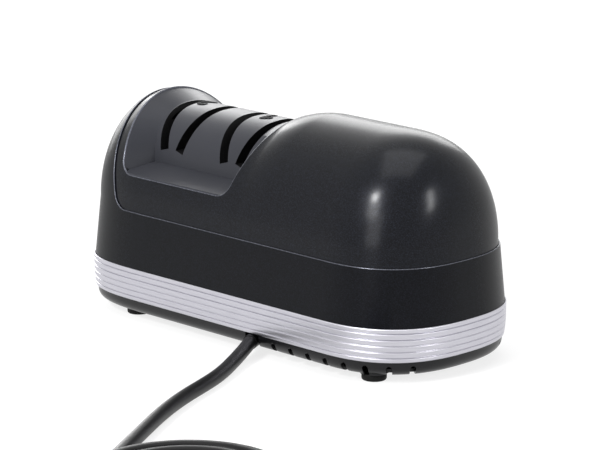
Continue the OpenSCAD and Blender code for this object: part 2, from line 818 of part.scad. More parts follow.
module motor_end_cap() color([0.2, 0.2, 0.2]) on_spindle(motor_back) difference() {
  union() {
    translate([0, 0, fit]) cylinder(r = motor_r, h = end_cap_t - fit);
    translate([0, 0, -4]) cylinder(r = motor_r - can_wall - fit, h = 4 + cut);
  }
  // Room for the commutator and the brushes
  translate([0, 0, -4 - cut]) cylinder(r = motor_r - can_wall - 4, h = 4 + cut);
  translate([0, 0, -cut]) cylinder(r = bush_r + fit, h = end_cap_t + 2 * cut);
  for (i = [0:3]) rotate([0, 0, 45 + 90 * i]) translate([motor_r * 0.62, 0, -cut])
    cylinder(r = 3.5, h = end_cap_t + 2 * cut);
}

module motor_bushes() color([0.72, 0.55, 0.3]) {
  on_spindle(motor_front - motor_nose) tube(bush_r, shaft_r + fit, motor_nose + 2);
  on_spindle(motor_back + fit) tube(bush_r, shaft_r + fit, end_cap_t - fit);
}

// Carbon brushes in their brass boxes, seated on the end cap
module motor_brushes() color([0.3, 0.28, 0.26])
  for (turn = [0, 180]) on_spindle(commutator_from + 0.5) rotate([0, 0, turn])
    translate([commutator_r + 0.3, -2.5, 0])
      cube([9, 5, motor_back - commutator_from - 0.5]);

module motor_shaft() color([0.75, 0.76, 0.78])
  on_spindle(coupling_mid + 0.5) cylinder(r = shaft_r, h = fan_to + 0.5 - coupling_mid);

module armature_core() color([0.5, 0.5, 0.53]) on_spindle(core_from) linear_extrude(height = core_l) difference() {
  circle(r = core_r);
  circle(r = shaft_r + fit / 2);
  for (i = [0:7]) rotate(45 * i) {
    translate([core_r - 6, -1.8]) square([4.6, 3.6]);
    translate([core_r - 2, -0.8]) square([4, 1.6]);
  }
}

module armature_winding() color([0.72, 0.4, 0.2])
  for (x = [core_from - turn_l, core_from + core_l]) on_spindle(x) tube(core_r - 1.5, shaft_r + 1, turn_l);

module commutator() color([0.75, 0.45, 0.25]) on_spindle(commutator_from) difference() {
  tube(commutator_r, shaft_r + fit / 2, commutator_l);
  for (i = [0:7]) rotate([0, 0, 45 * i + 22.5]) translate([commutator_r - 0.7, -0.2, -cut])
    cube([2, 0.4, commutator_l + 2 * cut]);
}

fan_from = motor_back + end_cap_t + 1.5;
fan_l = 7;
fan_to = fan_from + fan_l;

module cooling_fan() color([0.3, 0.3, 0.3]) on_spindle(fan_from) difference() {
  union() {
    cylinder(r = shaft_r + 3, h = fan_l);
    cylinder(d = fan_d, h = 1.2);
    for (i = [0:8]) rotate([0, 0, 40 * i]) translate([shaft_r + 2, -0.6, 0])
      cube([fan_d / 2 - shaft_r - 2.5, 1.2, fan_l - 1]);
  }
  translate([0, 0, -cut]) cylinder(r = shaft_r + fit / 2, h = fan_l + 2 * cut);
}

strap_w = 12;
strap_t = 1.2;
strap_z = spindle_z - 8;
ear_w = 7;
cradle_w = motor_d + 2 * (strap_t + ear_w) + 0.4;

module motor_cradle() color([0.3, 0.31, 0.33]) difference() {
  union() {
    translate([cradle_from, -motor_r + 2, pad_z]) cube([cradle_l, motor_d - 4, 4]);
    for (x = [cradle_from, cradle_from + cradle_l - 8]) translate([x, -cradle_w / 2, pad_z])
      cube([8, cradle_w, strap_z - pad_z]);
    translate([cradle_from + cradle_l / 2 - strap_w / 2, -cradle_w / 2, pad_z])
      cube([strap_w, cradle_w, strap_z - pad_z]);
    translate([cradle_from, -2, pad_z]) cube([cradle_l, 4, spindle_z - motor_r - pad_z]);
  }
  on_spindle(cradle_from - cut) cylinder(r = motor_r + fit, h = cradle_l + 2 * cut);
  at_corners(cradle_from + 5, cradle_from + cradle_l - 5, cradle_screw_y) {
    translate([0, 0, pad_z - cut]) cylinder(r = screw_hole_r, h = 8);
    translate([0, 0, pad_z + 4]) cylinder(r = 3.2, h = big);
  }
  for (side = [-1, 1]) translate([cradle_from + cradle_l / 2, side * (cradle_w - ear_w) / 2, strap_z - 8])
    cylinder(r = screw_hole_r, h = 10);
}

module motor_strap() color([0.7, 0.71, 0.73]) translate([cradle_from + cradle_l / 2, 0, 0]) {
  r = motor_r + 0.2;
  on_strap() rotate_extrude(angle = 180) translate([r, -strap_w / 2]) square([strap_t, strap_w]);
  for (side = [0, 1]) mirror([0, side, 0]) difference() {
    union() {
      translate([-strap_w / 2, r, strap_z]) cube([strap_w, strap_t, spindle_z - strap_z]);
      translate([-strap_w / 2, r, strap_z]) cube([strap_w, strap_t + ear_w, strap_t]);
    }
    translate([0, (cradle_w - ear_w) / 2, strap_z - cut]) cylinder(r = screw_hole_r, h = 4);
  }
}

// Turns a half ring so that it arches over the spindle line
module on_strap() {
  translate([0, 0, spindle_z]) rotate([90, 0, 90]) children();
}

module motor_screws() color([0.7, 0.7, 0.72]) {
  at_corners(cradle_from + 5, cradle_from + cradle_l - 5, cradle_screw_y)
    translate([0, 0, pad_z + 4]) screw_down(4 + pad_h - 1, 2.8);
  for (side = [-1, 1])
    translate([cradle_from + cradle_l / 2, side * (cradle_w - ear_w) / 2, strap_z + strap_t]) screw_down(7, 2.8);
}

// ---- Switch ----

rocker_y = half_w - 6;
bezel_y = switch_seat + fit;
bezel_t = 1.6;
rocker_gap = 0.3;
opening_w = rocker_w + 2;
opening_h = rocker_h + 2 * rocker_gap;
switch_depth = 17;
pin_r = 1.2;

module switch_body() color([0.06, 0.06, 0.06]) difference() {
  union() {
    translate([switch_x - bezel_w / 2, bezel_y, switch_z - bezel_h / 2]) cube([bezel_w, bezel_t, bezel_h]);
    translate([switch_x - switch_box_w / 2, bezel_y - switch_depth, switch_z - switch_box_h / 2])
      cube([switch_box_w, switch_depth + cut, switch_box_h]);
  }
  translate([switch_x - opening_w / 2, rocker_y - 6, switch_z - opening_h / 2])
    cube([opening_w, 20, opening_h]);
  translate([switch_x, rocker_y, switch_z - rocker_h / 2 - 1.3])
    cylinder(r = pin_r + fit, h = rocker_h + 2.6);
}

// Rocker with a shallow V for a face, drawn in its off position
module switch_rocker() color([0.1, 0.1, 0.1])
  translate([switch_x, rocker_y, switch_z]) rotate([0, 0, -rocker_swing / 2]) {
    translate([0, 0, -rocker_h / 2]) linear_extrude(height = rocker_h) polygon([
      [-rocker_w / 2, 3.6],
      [0, 2.2],
      [rocker_w / 2, 3.6],
      [rocker_w / 2 - 1, -1.2],
      [3, -3.6],
      [-3, -3.6],
      [-rocker_w / 2 + 1, -1.2]
    ]);
    translate([0, 0, -rocker_h / 2 - 1.2]) cylinder(r = pin_r, h = rocker_h + 2.4);
  }

module switch_terminals() color([0.8, 0.72, 0.45])
  for (side = [-1, 1])
    translate([switch_x + side * 5 - 0.4, bezel_y - switch_depth - 7, switch_z - 2.4]) cube([0.8, 7, 4.8]);

// ---- Electronics ----

module circuit_board() color([0.12, 0.35, 0.2]) difference() {
  translate([board_x - board_l / 2, -board_w / 2, board_z]) cube([board_l, board_w, 1.6]);
  at_corners(board_x - board_l / 2 + 4, board_x + board_l / 2 - 4, board_w / 2 - 4)
    translate([0, 0, board_z - cut]) cylinder(r = screw_hole_r, h = 4);
}

module rectifier() color([0.15, 0.15, 0.15]) translate([board_from + 0.6, -3, board_z + 1.6]) cube([4, 6, 14]);

module capacitor() color([0.15, 0.25, 0.5]) translate([board_x + 2, 0, board_z + 1.6]) {
  cylinder(r = 4, h = 14);
  translate([0, 0, 14]) cylinder(r1 = 4, r2 = 3.4, h = 0.8);
}

// ---- Cord and plug ----

// Tapered relief; a flat under it lies level with the pan
module strain_relief() color([0.07, 0.07, 0.07]) difference() {
  at_relief() rotate([0, 90, 0]) {
    translate([0, 0, -relief_l]) cylinder(r = relief_r, h = relief_l - 6);
    translate([0, 0, -6]) cylinder(r1 = relief_r, r2 = cord_d / 2 + 0.2, h = 6 + relief_nose);
    translate([0, 0, -relief_l]) cylinder(r = collar_r, h = collar_t);
  }
  translate([-big / 2, -big / 2, -big + pan_z]) cube([big, big, big]);
}

module cord_clamp() color([0.3, 0.31, 0.33]) difference() {
  at_relief() translate([clamp_s - 4, -clamp_screw_r - 4, pad_z - relief_at[2]])
    cube([8, 2 * clamp_screw_r + 8, 3]);
  at_relief() rotate([0, 90, 0]) translate([0, 0, -relief_l - 10]) cylinder(r = relief_r + fit, h = 60);
  for (side = [-1, 1]) at_relief() translate([clamp_s, side * clamp_screw_r, 0]) cylinder(r = screw_hole_r, h = 20);
}

module clamp_screws() color([0.7, 0.7, 0.72])
  for (side = [-1, 1]) at_relief() translate([clamp_s, side * clamp_screw_r, pad_z + 3 - relief_at[2]])
    screw_down(3 + pad_h - 1, 2.8);

cord_r = cord_d / 2;
lie = cord_r + 0.05;
plug_t = 13.6;
plug_w = 26;
plug_l = 35;
plug_grip = 14;
pin_gap = 18.6;

// Route of the cord over the table, from its strain relief to the coil
cord_route = [
  [19.4, -50.3, relief_at[2]],
  [24.6, -60.5, 5.1],
  [30.4, -72, 3.9],
  [36, -83, lie],
  [41, -93.5, lie],
  [45.4, -104.5, lie],
  [50.5, -118, lie],
  [56.5, -132, lie],
  [63.5, -146, lie],
  [71.3, -160, lie],
  [79.4, -174, lie],
  [87.5, -188, lie],
  [95.5, -202, lie],
  [102.5, -214.1, lie],
  [109.5, -226.2, lie]
];

// The coil starts where the route ends, winds in on the table and out again on top
coil_turn = 210;
coil_pitch = cord_d + 0.6;
coil_half = coil_turns / 2;
coil_out = coil_d / 2 + coil_pitch * coil_half / 2;
route_end = cord_route[len(cord_route) - 1];
coil_heading = [-sin(coil_turn), cos(coil_turn), 0];
coil_start = route_end + cord_d * coil_heading;
coil_centre = [coil_start[0], coil_start[1]] - coil_out * [cos(coil_turn), sin(coil_turn)];
coil_climb = cord_d + 0.6;
coil_rings = 24;

// Share of a smooth climb made after a share of the way
function ramp(t) = t <= 0 ? 0 : t >= 1 ? 1 : t * t * (3 - 2 * t);

function coil_point(turn) = let (
    r = coil_out - coil_pitch * (turn < coil_half ? turn : coil_turns - turn),
    a = coil_turn + 360 * turn
  ) [
    coil_centre[0] + r * cos(a),
    coil_centre[1] + r * sin(a),
    lie + coil_climb * ramp((turn - coil_half + 0.25) / 0.5)
  ];

// Both ends of the coil run straight for one diameter of the cord
tail_turn = coil_turn + 360 * coil_turns;
coil_exit = [-sin(tail_turn), cos(tail_turn), 0];
coil_line = concat(
  [route_end],
  [for (i = [0:coil_turns * coil_rings]) coil_point(i / coil_rings)],
  [coil_point(coil_turns) + cord_d * coil_exit]
);

// The tail leaves the top turn, drops to the table and curls round to the plug
tail_swing = 50;
tail_line = [for (i = [0:8]) let (
    t = i / 8,
    a = tail_turn + tail_swing * t,
    r = coil_out + 15 * ramp(t)
  ) cord_d * coil_exit + [
    coil_centre[0] + r * cos(a),
    coil_centre[1] + r * sin(a),
    lie + coil_climb - (coil_climb + lie - plug_t / 2) * ramp(t)
  ]];

function heading(line, i) = let (
    a = line[max(0, i - 1)],
    b = line[min(len(line) - 1, i + 1)]
  ) (b - a) / norm(b - a);

// Ring of points round the cord, square to its heading
function ring_at(p, u, r, sides) = let (
    flat = [u[1], -u[0], 0] / norm([u[0], u[1]]),
    up = cross(flat, u)
  ) [for (k = [0:sides - 1]) p + r * (cos(360 * k / sides) * flat + sin(360 * k / sides) * up)];

// Swept cord whose ends face along the given headings
module swept(line, sides, first, last) {
  n = len(line);
  loft_round([for (i = [0:n - 1])
    ring_at(line[i], i == 0 ? first : i == n - 1 ? last : heading(line, i), cord_r, sides)]);
}

// Closed skin of triangles over round rings
module loft_round(rings) {
  n = len(rings[0]);
  last = len(rings) - 1;
  polyhedron(
    points = [for (ring = rings, p = ring) p],
    faces = concat(
      [[for (j = [n - 1:-1:0]) j]],
      [for (i = [0:last - 1], j = [0:n - 1]) [i * n + j, i * n + (j + 1) % n, (i + 1) * n + j]],
      [for (i = [0:last - 1], j = [0:n - 1])
        [i * n + (j + 1) % n, (i + 1) * n + (j + 1) % n, (i + 1) * n + j]],
      [[for (j = [0:n - 1]) last * n + j]]
    )
  );
}

function unit(v) = v / norm(v);
relief_heading = [sin(relief_turn), -cos(relief_turn), 0];
plug_turn = tail_turn + tail_swing + 90;
plug_heading = [cos(plug_turn), sin(plug_turn), 0];
plug_at = tail_line[len(tail_line) - 1];

module cord_run() color([0.06, 0.06, 0.06]) swept(cord_route, 8, relief_heading, coil_heading);

// The least gap between parts of the coil that are half a turn or more apart
coil_gap = min([for (i = [0:len(coil_line) - 1], j = [0:len(coil_line) - 1])
  if (j - i >= coil_rings / 2) norm(coil_line[j] - coil_line[i])]) - cord_d;

module cord_coil() color([0.06, 0.06, 0.06]) {
  echo(least_gap_in_coil = coil_gap);
  swept(coil_line, 6, coil_heading, coil_exit);
}

module cord_tail() color([0.06, 0.06, 0.06]) swept(tail_line, 8, coil_exit, plug_heading);

// Flat plug, drawn from the cord along +X
module plug_body() color([0.06, 0.06, 0.06]) translate(plug_at) rotate([0, 0, plug_turn]) {
  translate([plug_grip, 0, -plug_t / 2]) linear_extrude(height = plug_t) polygon([
    [0, -7],
    [0, 7],
    [8, plug_w / 2],
    [plug_l - plug_grip - 3, plug_w / 2],
    [plug_l - plug_grip, plug_w / 2 - 3],
    [plug_l - plug_grip, -plug_w / 2 + 3],
    [plug_l - plug_grip - 3, -plug_w / 2],
    [8, -plug_w / 2]
  ]);
  rotate([0, 90, 0]) cylinder(r1 = cord_r + 0.6, r2 = plug_t / 2 - 1, h = plug_grip + 0.5);
}

module plug_pins() color([0.8, 0.8, 0.82]) translate(plug_at) rotate([0, 0, plug_turn])
  for (side = [-1, 1]) translate([plug_l, side * pin_gap / 2, 0]) rotate([0, 90, 0]) {
    cylinder(r = 1.9, h = 10);
    translate([0, 0, 10]) cylinder(r = 2, h = pin_l - 12);
    translate([0, 0, pin_l - 2]) cylinder(r1 = 2, r2 = 1, h = 2);
  }

module foot_front_left() foot(foot_x_left, foot_y);
module foot_front_right() foot(foot_x_right, foot_y);
module foot_rear_left() foot(foot_x_left, -foot_y);
module foot_rear_right() foot(foot_x_right, -foot_y);

upper_cover();
lower_housing();
head_insert();
trim_band();
base_pan();
foot_front_left();
foot_front_right();
foot_rear_left();
foot_rear_right();
base_screws();
bracket_left();
bracket_right();
bracket_screws();
bush_left();
bush_right();
wheel_shaft();
coupling();
motor_shaft();
fine_wheel_left();
fine_wheel_right();
coarse_wheel_left();
coarse_wheel_right();
fine_washer();
coarse_washer();
shaft_clips();
motor_can();
motor_magnets();
motor_end_cap();
motor_brushes();
motor_bushes();
armature_core();
armature_winding();
commutator();
cooling_fan();
motor_cradle();
motor_strap();
motor_screws();
switch_body();
switch_rocker();
switch_terminals();
circuit_board();
rectifier();
capacitor();
strain_relief();
cord_clamp();
clamp_screws();
cord_run();
cord_coil();
cord_tail();
plug_body();
plug_pins();
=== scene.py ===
import json
import math

import bmesh
import bpy
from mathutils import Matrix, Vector


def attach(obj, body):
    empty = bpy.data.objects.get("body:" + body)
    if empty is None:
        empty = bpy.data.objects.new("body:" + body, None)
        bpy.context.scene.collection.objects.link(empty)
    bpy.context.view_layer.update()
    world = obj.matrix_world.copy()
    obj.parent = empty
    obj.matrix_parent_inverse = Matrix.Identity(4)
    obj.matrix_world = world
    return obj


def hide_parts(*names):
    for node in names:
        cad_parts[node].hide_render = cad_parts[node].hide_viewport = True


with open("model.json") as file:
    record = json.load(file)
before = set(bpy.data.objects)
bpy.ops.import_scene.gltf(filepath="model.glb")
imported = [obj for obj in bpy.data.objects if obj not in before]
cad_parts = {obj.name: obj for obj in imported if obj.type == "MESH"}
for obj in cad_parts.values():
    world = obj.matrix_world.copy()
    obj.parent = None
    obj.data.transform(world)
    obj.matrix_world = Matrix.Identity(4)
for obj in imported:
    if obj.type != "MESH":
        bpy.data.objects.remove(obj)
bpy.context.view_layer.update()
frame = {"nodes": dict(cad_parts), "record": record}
cadNodes = frame["nodes"]
scene = bpy.context.scene
mm = 0.001  # Blender works in metres, the settings of the pieces are in millimetres and degrees


def linearColour(hexText):
    parts = [int(hexText[i:i + 2], 16) / 255 for i in (0, 2, 4)]
    return tuple(c / 12.92 if c <= 0.04045 else ((c + 0.055) / 1.055) ** 2.4 for c in parts) + (1.0,)


def addNode(tree, kind, values=None, links=None, **settings):
    node = tree.nodes.new(kind)
    for name, value in settings.items():
        setattr(node, name, value)
    for name, value in (values or {}).items():
        node.inputs[name].default_value = value
    for name, source in (links or {}).items():
        tree.links.new(source, node.inputs[name])
    return node


print("camera, floor and lights")

cameraSettings = {
    "place": (1.0024, -0.9992, 0.4039),  # metres
    "target": (0, 0, 0.05),
    "sensor": 36,
    "lens": 185.8,
    "shift": 0.0042,
    "farthest": 50,
}


def makeCamera(settings):
    camera = bpy.data.objects.new("studioCamera", bpy.data.cameras.new("studioCamera"))
    scene.collection.objects.link(camera)
    camera.location = settings["place"]
    ahead = Vector(settings["target"]) - camera.location
    camera.rotation_euler = ahead.to_track_quat("-Z", "Y").to_euler()
    camera.data.sensor_width = settings["sensor"]
    camera.data.lens = settings["lens"]
    camera.data.shift_x = settings["shift"]
    camera.data.clip_end = settings["farthest"]
    scene.camera = camera


makeCamera(cameraSettings)
scene.view_settings.view_transform = "Standard"

studioSettings = {
    "floorSize": 3.0,  # metres from the middle to each side
    "floorDrop": 0.0002,  # keeps the feet's undersides out of the floor's own plane
    "floorColour": "F4F4F4",
    "floorGlow": 0.72,  # share of the floor's white that no shadow dims
    "glowStrength": 1.1,
    "ambientColour": "F1F3F6",
    "ambient": 0.24,
    "aimHeight": 0.05,
    "lamps": [
        # name, azimuth, elevation, distance, width, height, watts
        ("keySoftbox", 1, 42, 1.7, 0.2, 0.2, 16),
        ("keyFillSoftbox", 6, 31, 1.7, 0.45, 0.45, 7),
        ("stripSoftbox", 14, 14, 1.7, 0.6, 0.9, 6),
        ("topSoftbox", 30, 88, 1.6, 1.2, 1.2, 10),
        ("rightSoftbox", 98, 24, 1.8, 0.22, 0.55, 9),
        ("leftSoftbox", 252, 14, 1.9, 0.9, 0.9, 11),
        ("backSoftbox", 222, 22, 1.8, 1.5, 0.7, 15),
    ],
}


def seenDirectly(tree):
    path = addNode(tree, "ShaderNodeLightPath")
    either = addNode(tree, "ShaderNodeMath", operation="MAXIMUM", links={
        0: path.outputs["Is Camera Ray"], 1: path.outputs["Is Glossy Ray"]})
    return addNode(tree, "ShaderNodeMath", operation="MAXIMUM", links={
        0: either.outputs[0], 1: path.outputs["Is Transmission Ray"]}).outputs[0]


def makeWorld(settings):
    world = bpy.data.worlds.new("studio")
    scene.world = world
    world.use_nodes = True
    tree = world.node_tree
    tree.nodes.clear()
    ambient = addNode(tree, "ShaderNodeBackground", {
        "Color": linearColour(settings["ambientColour"]), "Strength": settings["ambient"]})
    white = addNode(tree, "ShaderNodeBackground", {"Color": (1, 1, 1, 1), "Strength": 1.0})
    mixed = addNode(tree, "ShaderNodeMixShader", links={
        0: seenDirectly(tree), 1: ambient.outputs[0], 2: white.outputs[0]})
    addNode(tree, "ShaderNodeOutputWorld", links={"Surface": mixed.outputs[0]})


def makeFloor(settings):
    material = bpy.data.materials.new("paintedStudioFloor")  # matt white paint, so only a soft shadow shows
    material.use_nodes = True
    tree = material.node_tree
    tree.nodes.clear()
    paint = addNode(tree, "ShaderNodeBsdfDiffuse", {"Color": linearColour(settings["floorColour"])})
    glow = addNode(tree, "ShaderNodeEmission", {"Color": (1, 1, 1, 1), "Strength": settings["glowStrength"]})
    part = addNode(tree, "ShaderNodeMath", {1: settings["floorGlow"]}, {0: seenDirectly(tree)},
                   operation="MULTIPLY")
    mixed = addNode(tree, "ShaderNodeMixShader", links={
        0: part.outputs[0], 1: paint.outputs[0], 2: glow.outputs[0]})
    addNode(tree, "ShaderNodeOutputMaterial", links={"Surface": mixed.outputs[0]})
    s = settings["floorSize"]
    mesh = bpy.data.meshes.new("floor")
    mesh.from_pydata([(-s, -s, 0), (s, -s, 0), (s, s, 0), (-s, s, 0)], [], [(0, 1, 2, 3)])
    mesh.materials.append(material)
    floor = bpy.data.objects.new("floor", mesh)
    scene.collection.objects.link(floor)
    floor.location.z = -settings["floorDrop"]


def makeLamps(settings):
    aim = Vector((0, 0, settings["aimHeight"]))
    for name, azimuth, elevation, distance, wide, high, watts in settings["lamps"]:
        data = bpy.data.lights.new(name, "AREA")
        data.shape = "RECTANGLE"
        data.size, data.size_y, data.energy = wide, high, watts
        lamp = bpy.data.objects.new(name, data)
        scene.collection.objects.link(lamp)
        a, e = math.radians(azimuth), math.radians(elevation)
        away = Vector((math.sin(a) * math.cos(e), -math.cos(a) * math.cos(e), math.sin(e)))
        lamp.location = away * distance + aim
        lamp.rotation_euler = (-away).to_track_quat("-Z", "Y").to_euler()


makeWorld(studioSettings)
makeFloor(studioSettings)
makeLamps(studioSettings)

print("materials")

textureSettings = {
    "grainDetail": 2.0, "cloudDetail": 3.0, "streakDetail": 3.0,
    "mouldedRelief": 0.1, "machinedRelief": 0.05, "gritRelief": 0.2,  # heights of the bumps
    "gritBump": 0.7,
    "machinedSpread": 0.05, "flakeDuller": 0.04, "flakeShinier": 0.06,  # steps of roughness
}


def newMaterial(name):
    material = bpy.data.materials.new(name)
    material.use_nodes = True
    tree = material.node_tree
    tree.nodes.clear()
    shader = addNode(tree, "ShaderNodeBsdfPrincipled")
    addNode(tree, "ShaderNodeOutputMaterial", links={"Surface": shader.outputs[0]})
    place = addNode(tree, "ShaderNodeTexCoord").outputs["Object"]
    return material, tree, shader, place


def mouldedPlastic(name, settings):
    material, tree, shader, place = newMaterial(name)
    fine = addNode(tree, "ShaderNodeTexNoise", links={"Vector": place}, values={
        "Scale": 1 / (settings["grain"] * mm), "Detail": textureSettings["grainDetail"]})
    broad = addNode(tree, "ShaderNodeTexNoise", links={"Vector": place}, values={
        "Scale": 1 / (settings["cloud"] * mm), "Detail": textureSettings["cloudDetail"]})
    tone = addNode(tree, "ShaderNodeMix", data_type="RGBA", links={0: broad.outputs[0]}, values={
        6: linearColour(settings["base"]), 7: linearColour(settings["lighter"])})
    tree.links.new(tone.outputs[2], shader.inputs["Base Color"])
    rough = addNode(tree, "ShaderNodeMapRange", links={0: broad.outputs[0]}, values={
        3: settings["roughness"] - settings["spread"], 4: settings["roughness"] + settings["spread"]})
    tree.links.new(rough.outputs[0], shader.inputs["Roughness"])
    bump = addNode(tree, "ShaderNodeBump", links={"Height": fine.outputs[0]}, values={
        "Strength": settings["bump"], "Distance": textureSettings["mouldedRelief"] * mm})
    tree.links.new(bump.outputs[0], shader.inputs["Normal"])
    shader.inputs["IOR"].default_value = settings["ior"]
    facing = settings.get("facing", 1)  # share of the gloss kept where the surface faces the eye
    shader.inputs["Specular Tint"].default_value = (facing, facing, facing, 1)
    return material


def flakedPlastic(name, settings):
    material, tree, shader, place = newMaterial(name)
    flake = addNode(tree, "ShaderNodeTexVoronoi", {"Scale": 1 / (settings["flake"] * mm)}, {"Vector": place})
    part = addNode(tree, "ShaderNodeSeparateColor", links={0: flake.outputs["Color"]})
    few = addNode(tree, "ShaderNodeMapRange", {1: 1 - settings["flakeShare"], 2: 1.0}, {0: part.outputs[0]})
    tone = addNode(tree, "ShaderNodeMix", data_type="RGBA", links={0: few.outputs[0]}, values={
        6: linearColour(settings["base"]), 7: linearColour(settings["flakeColour"])})
    tree.links.new(tone.outputs[2], shader.inputs["Base Color"])
    shine = addNode(tree, "ShaderNodeMapRange", links={0: part.outputs[1]}, values={
        3: settings["roughness"] + textureSettings["flakeDuller"],
        4: settings["roughness"] - textureSettings["flakeShinier"]})
    tree.links.new(shine.outputs[0], shader.inputs["Roughness"])
    shader.inputs["Metallic"].default_value = settings["metallic"]
    shader.inputs["IOR"].default_value = settings["ior"]
    shader.inputs["Specular Tint"].default_value = (settings["facing"],) * 3 + (1,)
    shader.inputs["Coat Weight"].default_value = settings["coat"]
    shader.inputs["Coat Roughness"].default_value = settings["coatRoughness"]
    return material


def machinedMetal(name, settings):
    material, tree, shader, place = newMaterial(name)
    stretch = addNode(tree, "ShaderNodeMapping", links={"Vector": place}, values={
        "Scale": settings.get("stretch", (1, 1, 1))})
    lines = addNode(tree, "ShaderNodeTexNoise", links={"Vector": stretch.outputs[0]}, values={
        "Scale": 1 / (settings["grain"] * mm), "Detail": textureSettings["streakDetail"]})
    tone = addNode(tree, "ShaderNodeMix", data_type="RGBA", links={0: lines.outputs[0]}, values={
        6: linearColour(settings["base"]), 7: linearColour(settings["lighter"])})
    tree.links.new(tone.outputs[2], shader.inputs["Base Color"])
    spread = textureSettings["machinedSpread"]
    rough = addNode(tree, "ShaderNodeMapRange", links={0: lines.outputs[0]}, values={
        3: settings["roughness"] - spread, 4: settings["roughness"] + spread})
    tree.links.new(rough.outputs[0], shader.inputs["Roughness"])
    bump = addNode(tree, "ShaderNodeBump", links={"Height": lines.outputs[0]}, values={
        "Strength": settings["bump"], "Distance": textureSettings["machinedRelief"] * mm})
    tree.links.new(bump.outputs[0], shader.inputs["Normal"])
    shader.inputs["Metallic"].default_value = 1.0
    return material


def bondedGrit(name, settings):
    material, tree, shader, place = newMaterial(name)
    grit = addNode(tree, "ShaderNodeTexVoronoi", {"Scale": 1 / (settings["grain"] * mm)}, {"Vector": place})
    tone = addNode(tree, "ShaderNodeMix", data_type="RGBA", links={0: grit.outputs["Color"]}, values={
        6: linearColour(settings["base"]), 7: linearColour(settings["lighter"])})
    tree.links.new(tone.outputs[2], shader.inputs["Base Color"])
    bump = addNode(tree, "ShaderNodeBump", links={"Height": grit.outputs["Distance"]}, values={
        "Strength": textureSettings["gritBump"], "Distance": textureSettings["gritRelief"] * mm})
    tree.links.new(bump.outputs[0], shader.inputs["Normal"])
    shader.inputs["Roughness"].default_value = settings["roughness"]
    shader.inputs["Metallic"].default_value = settings["metallic"]
    return material


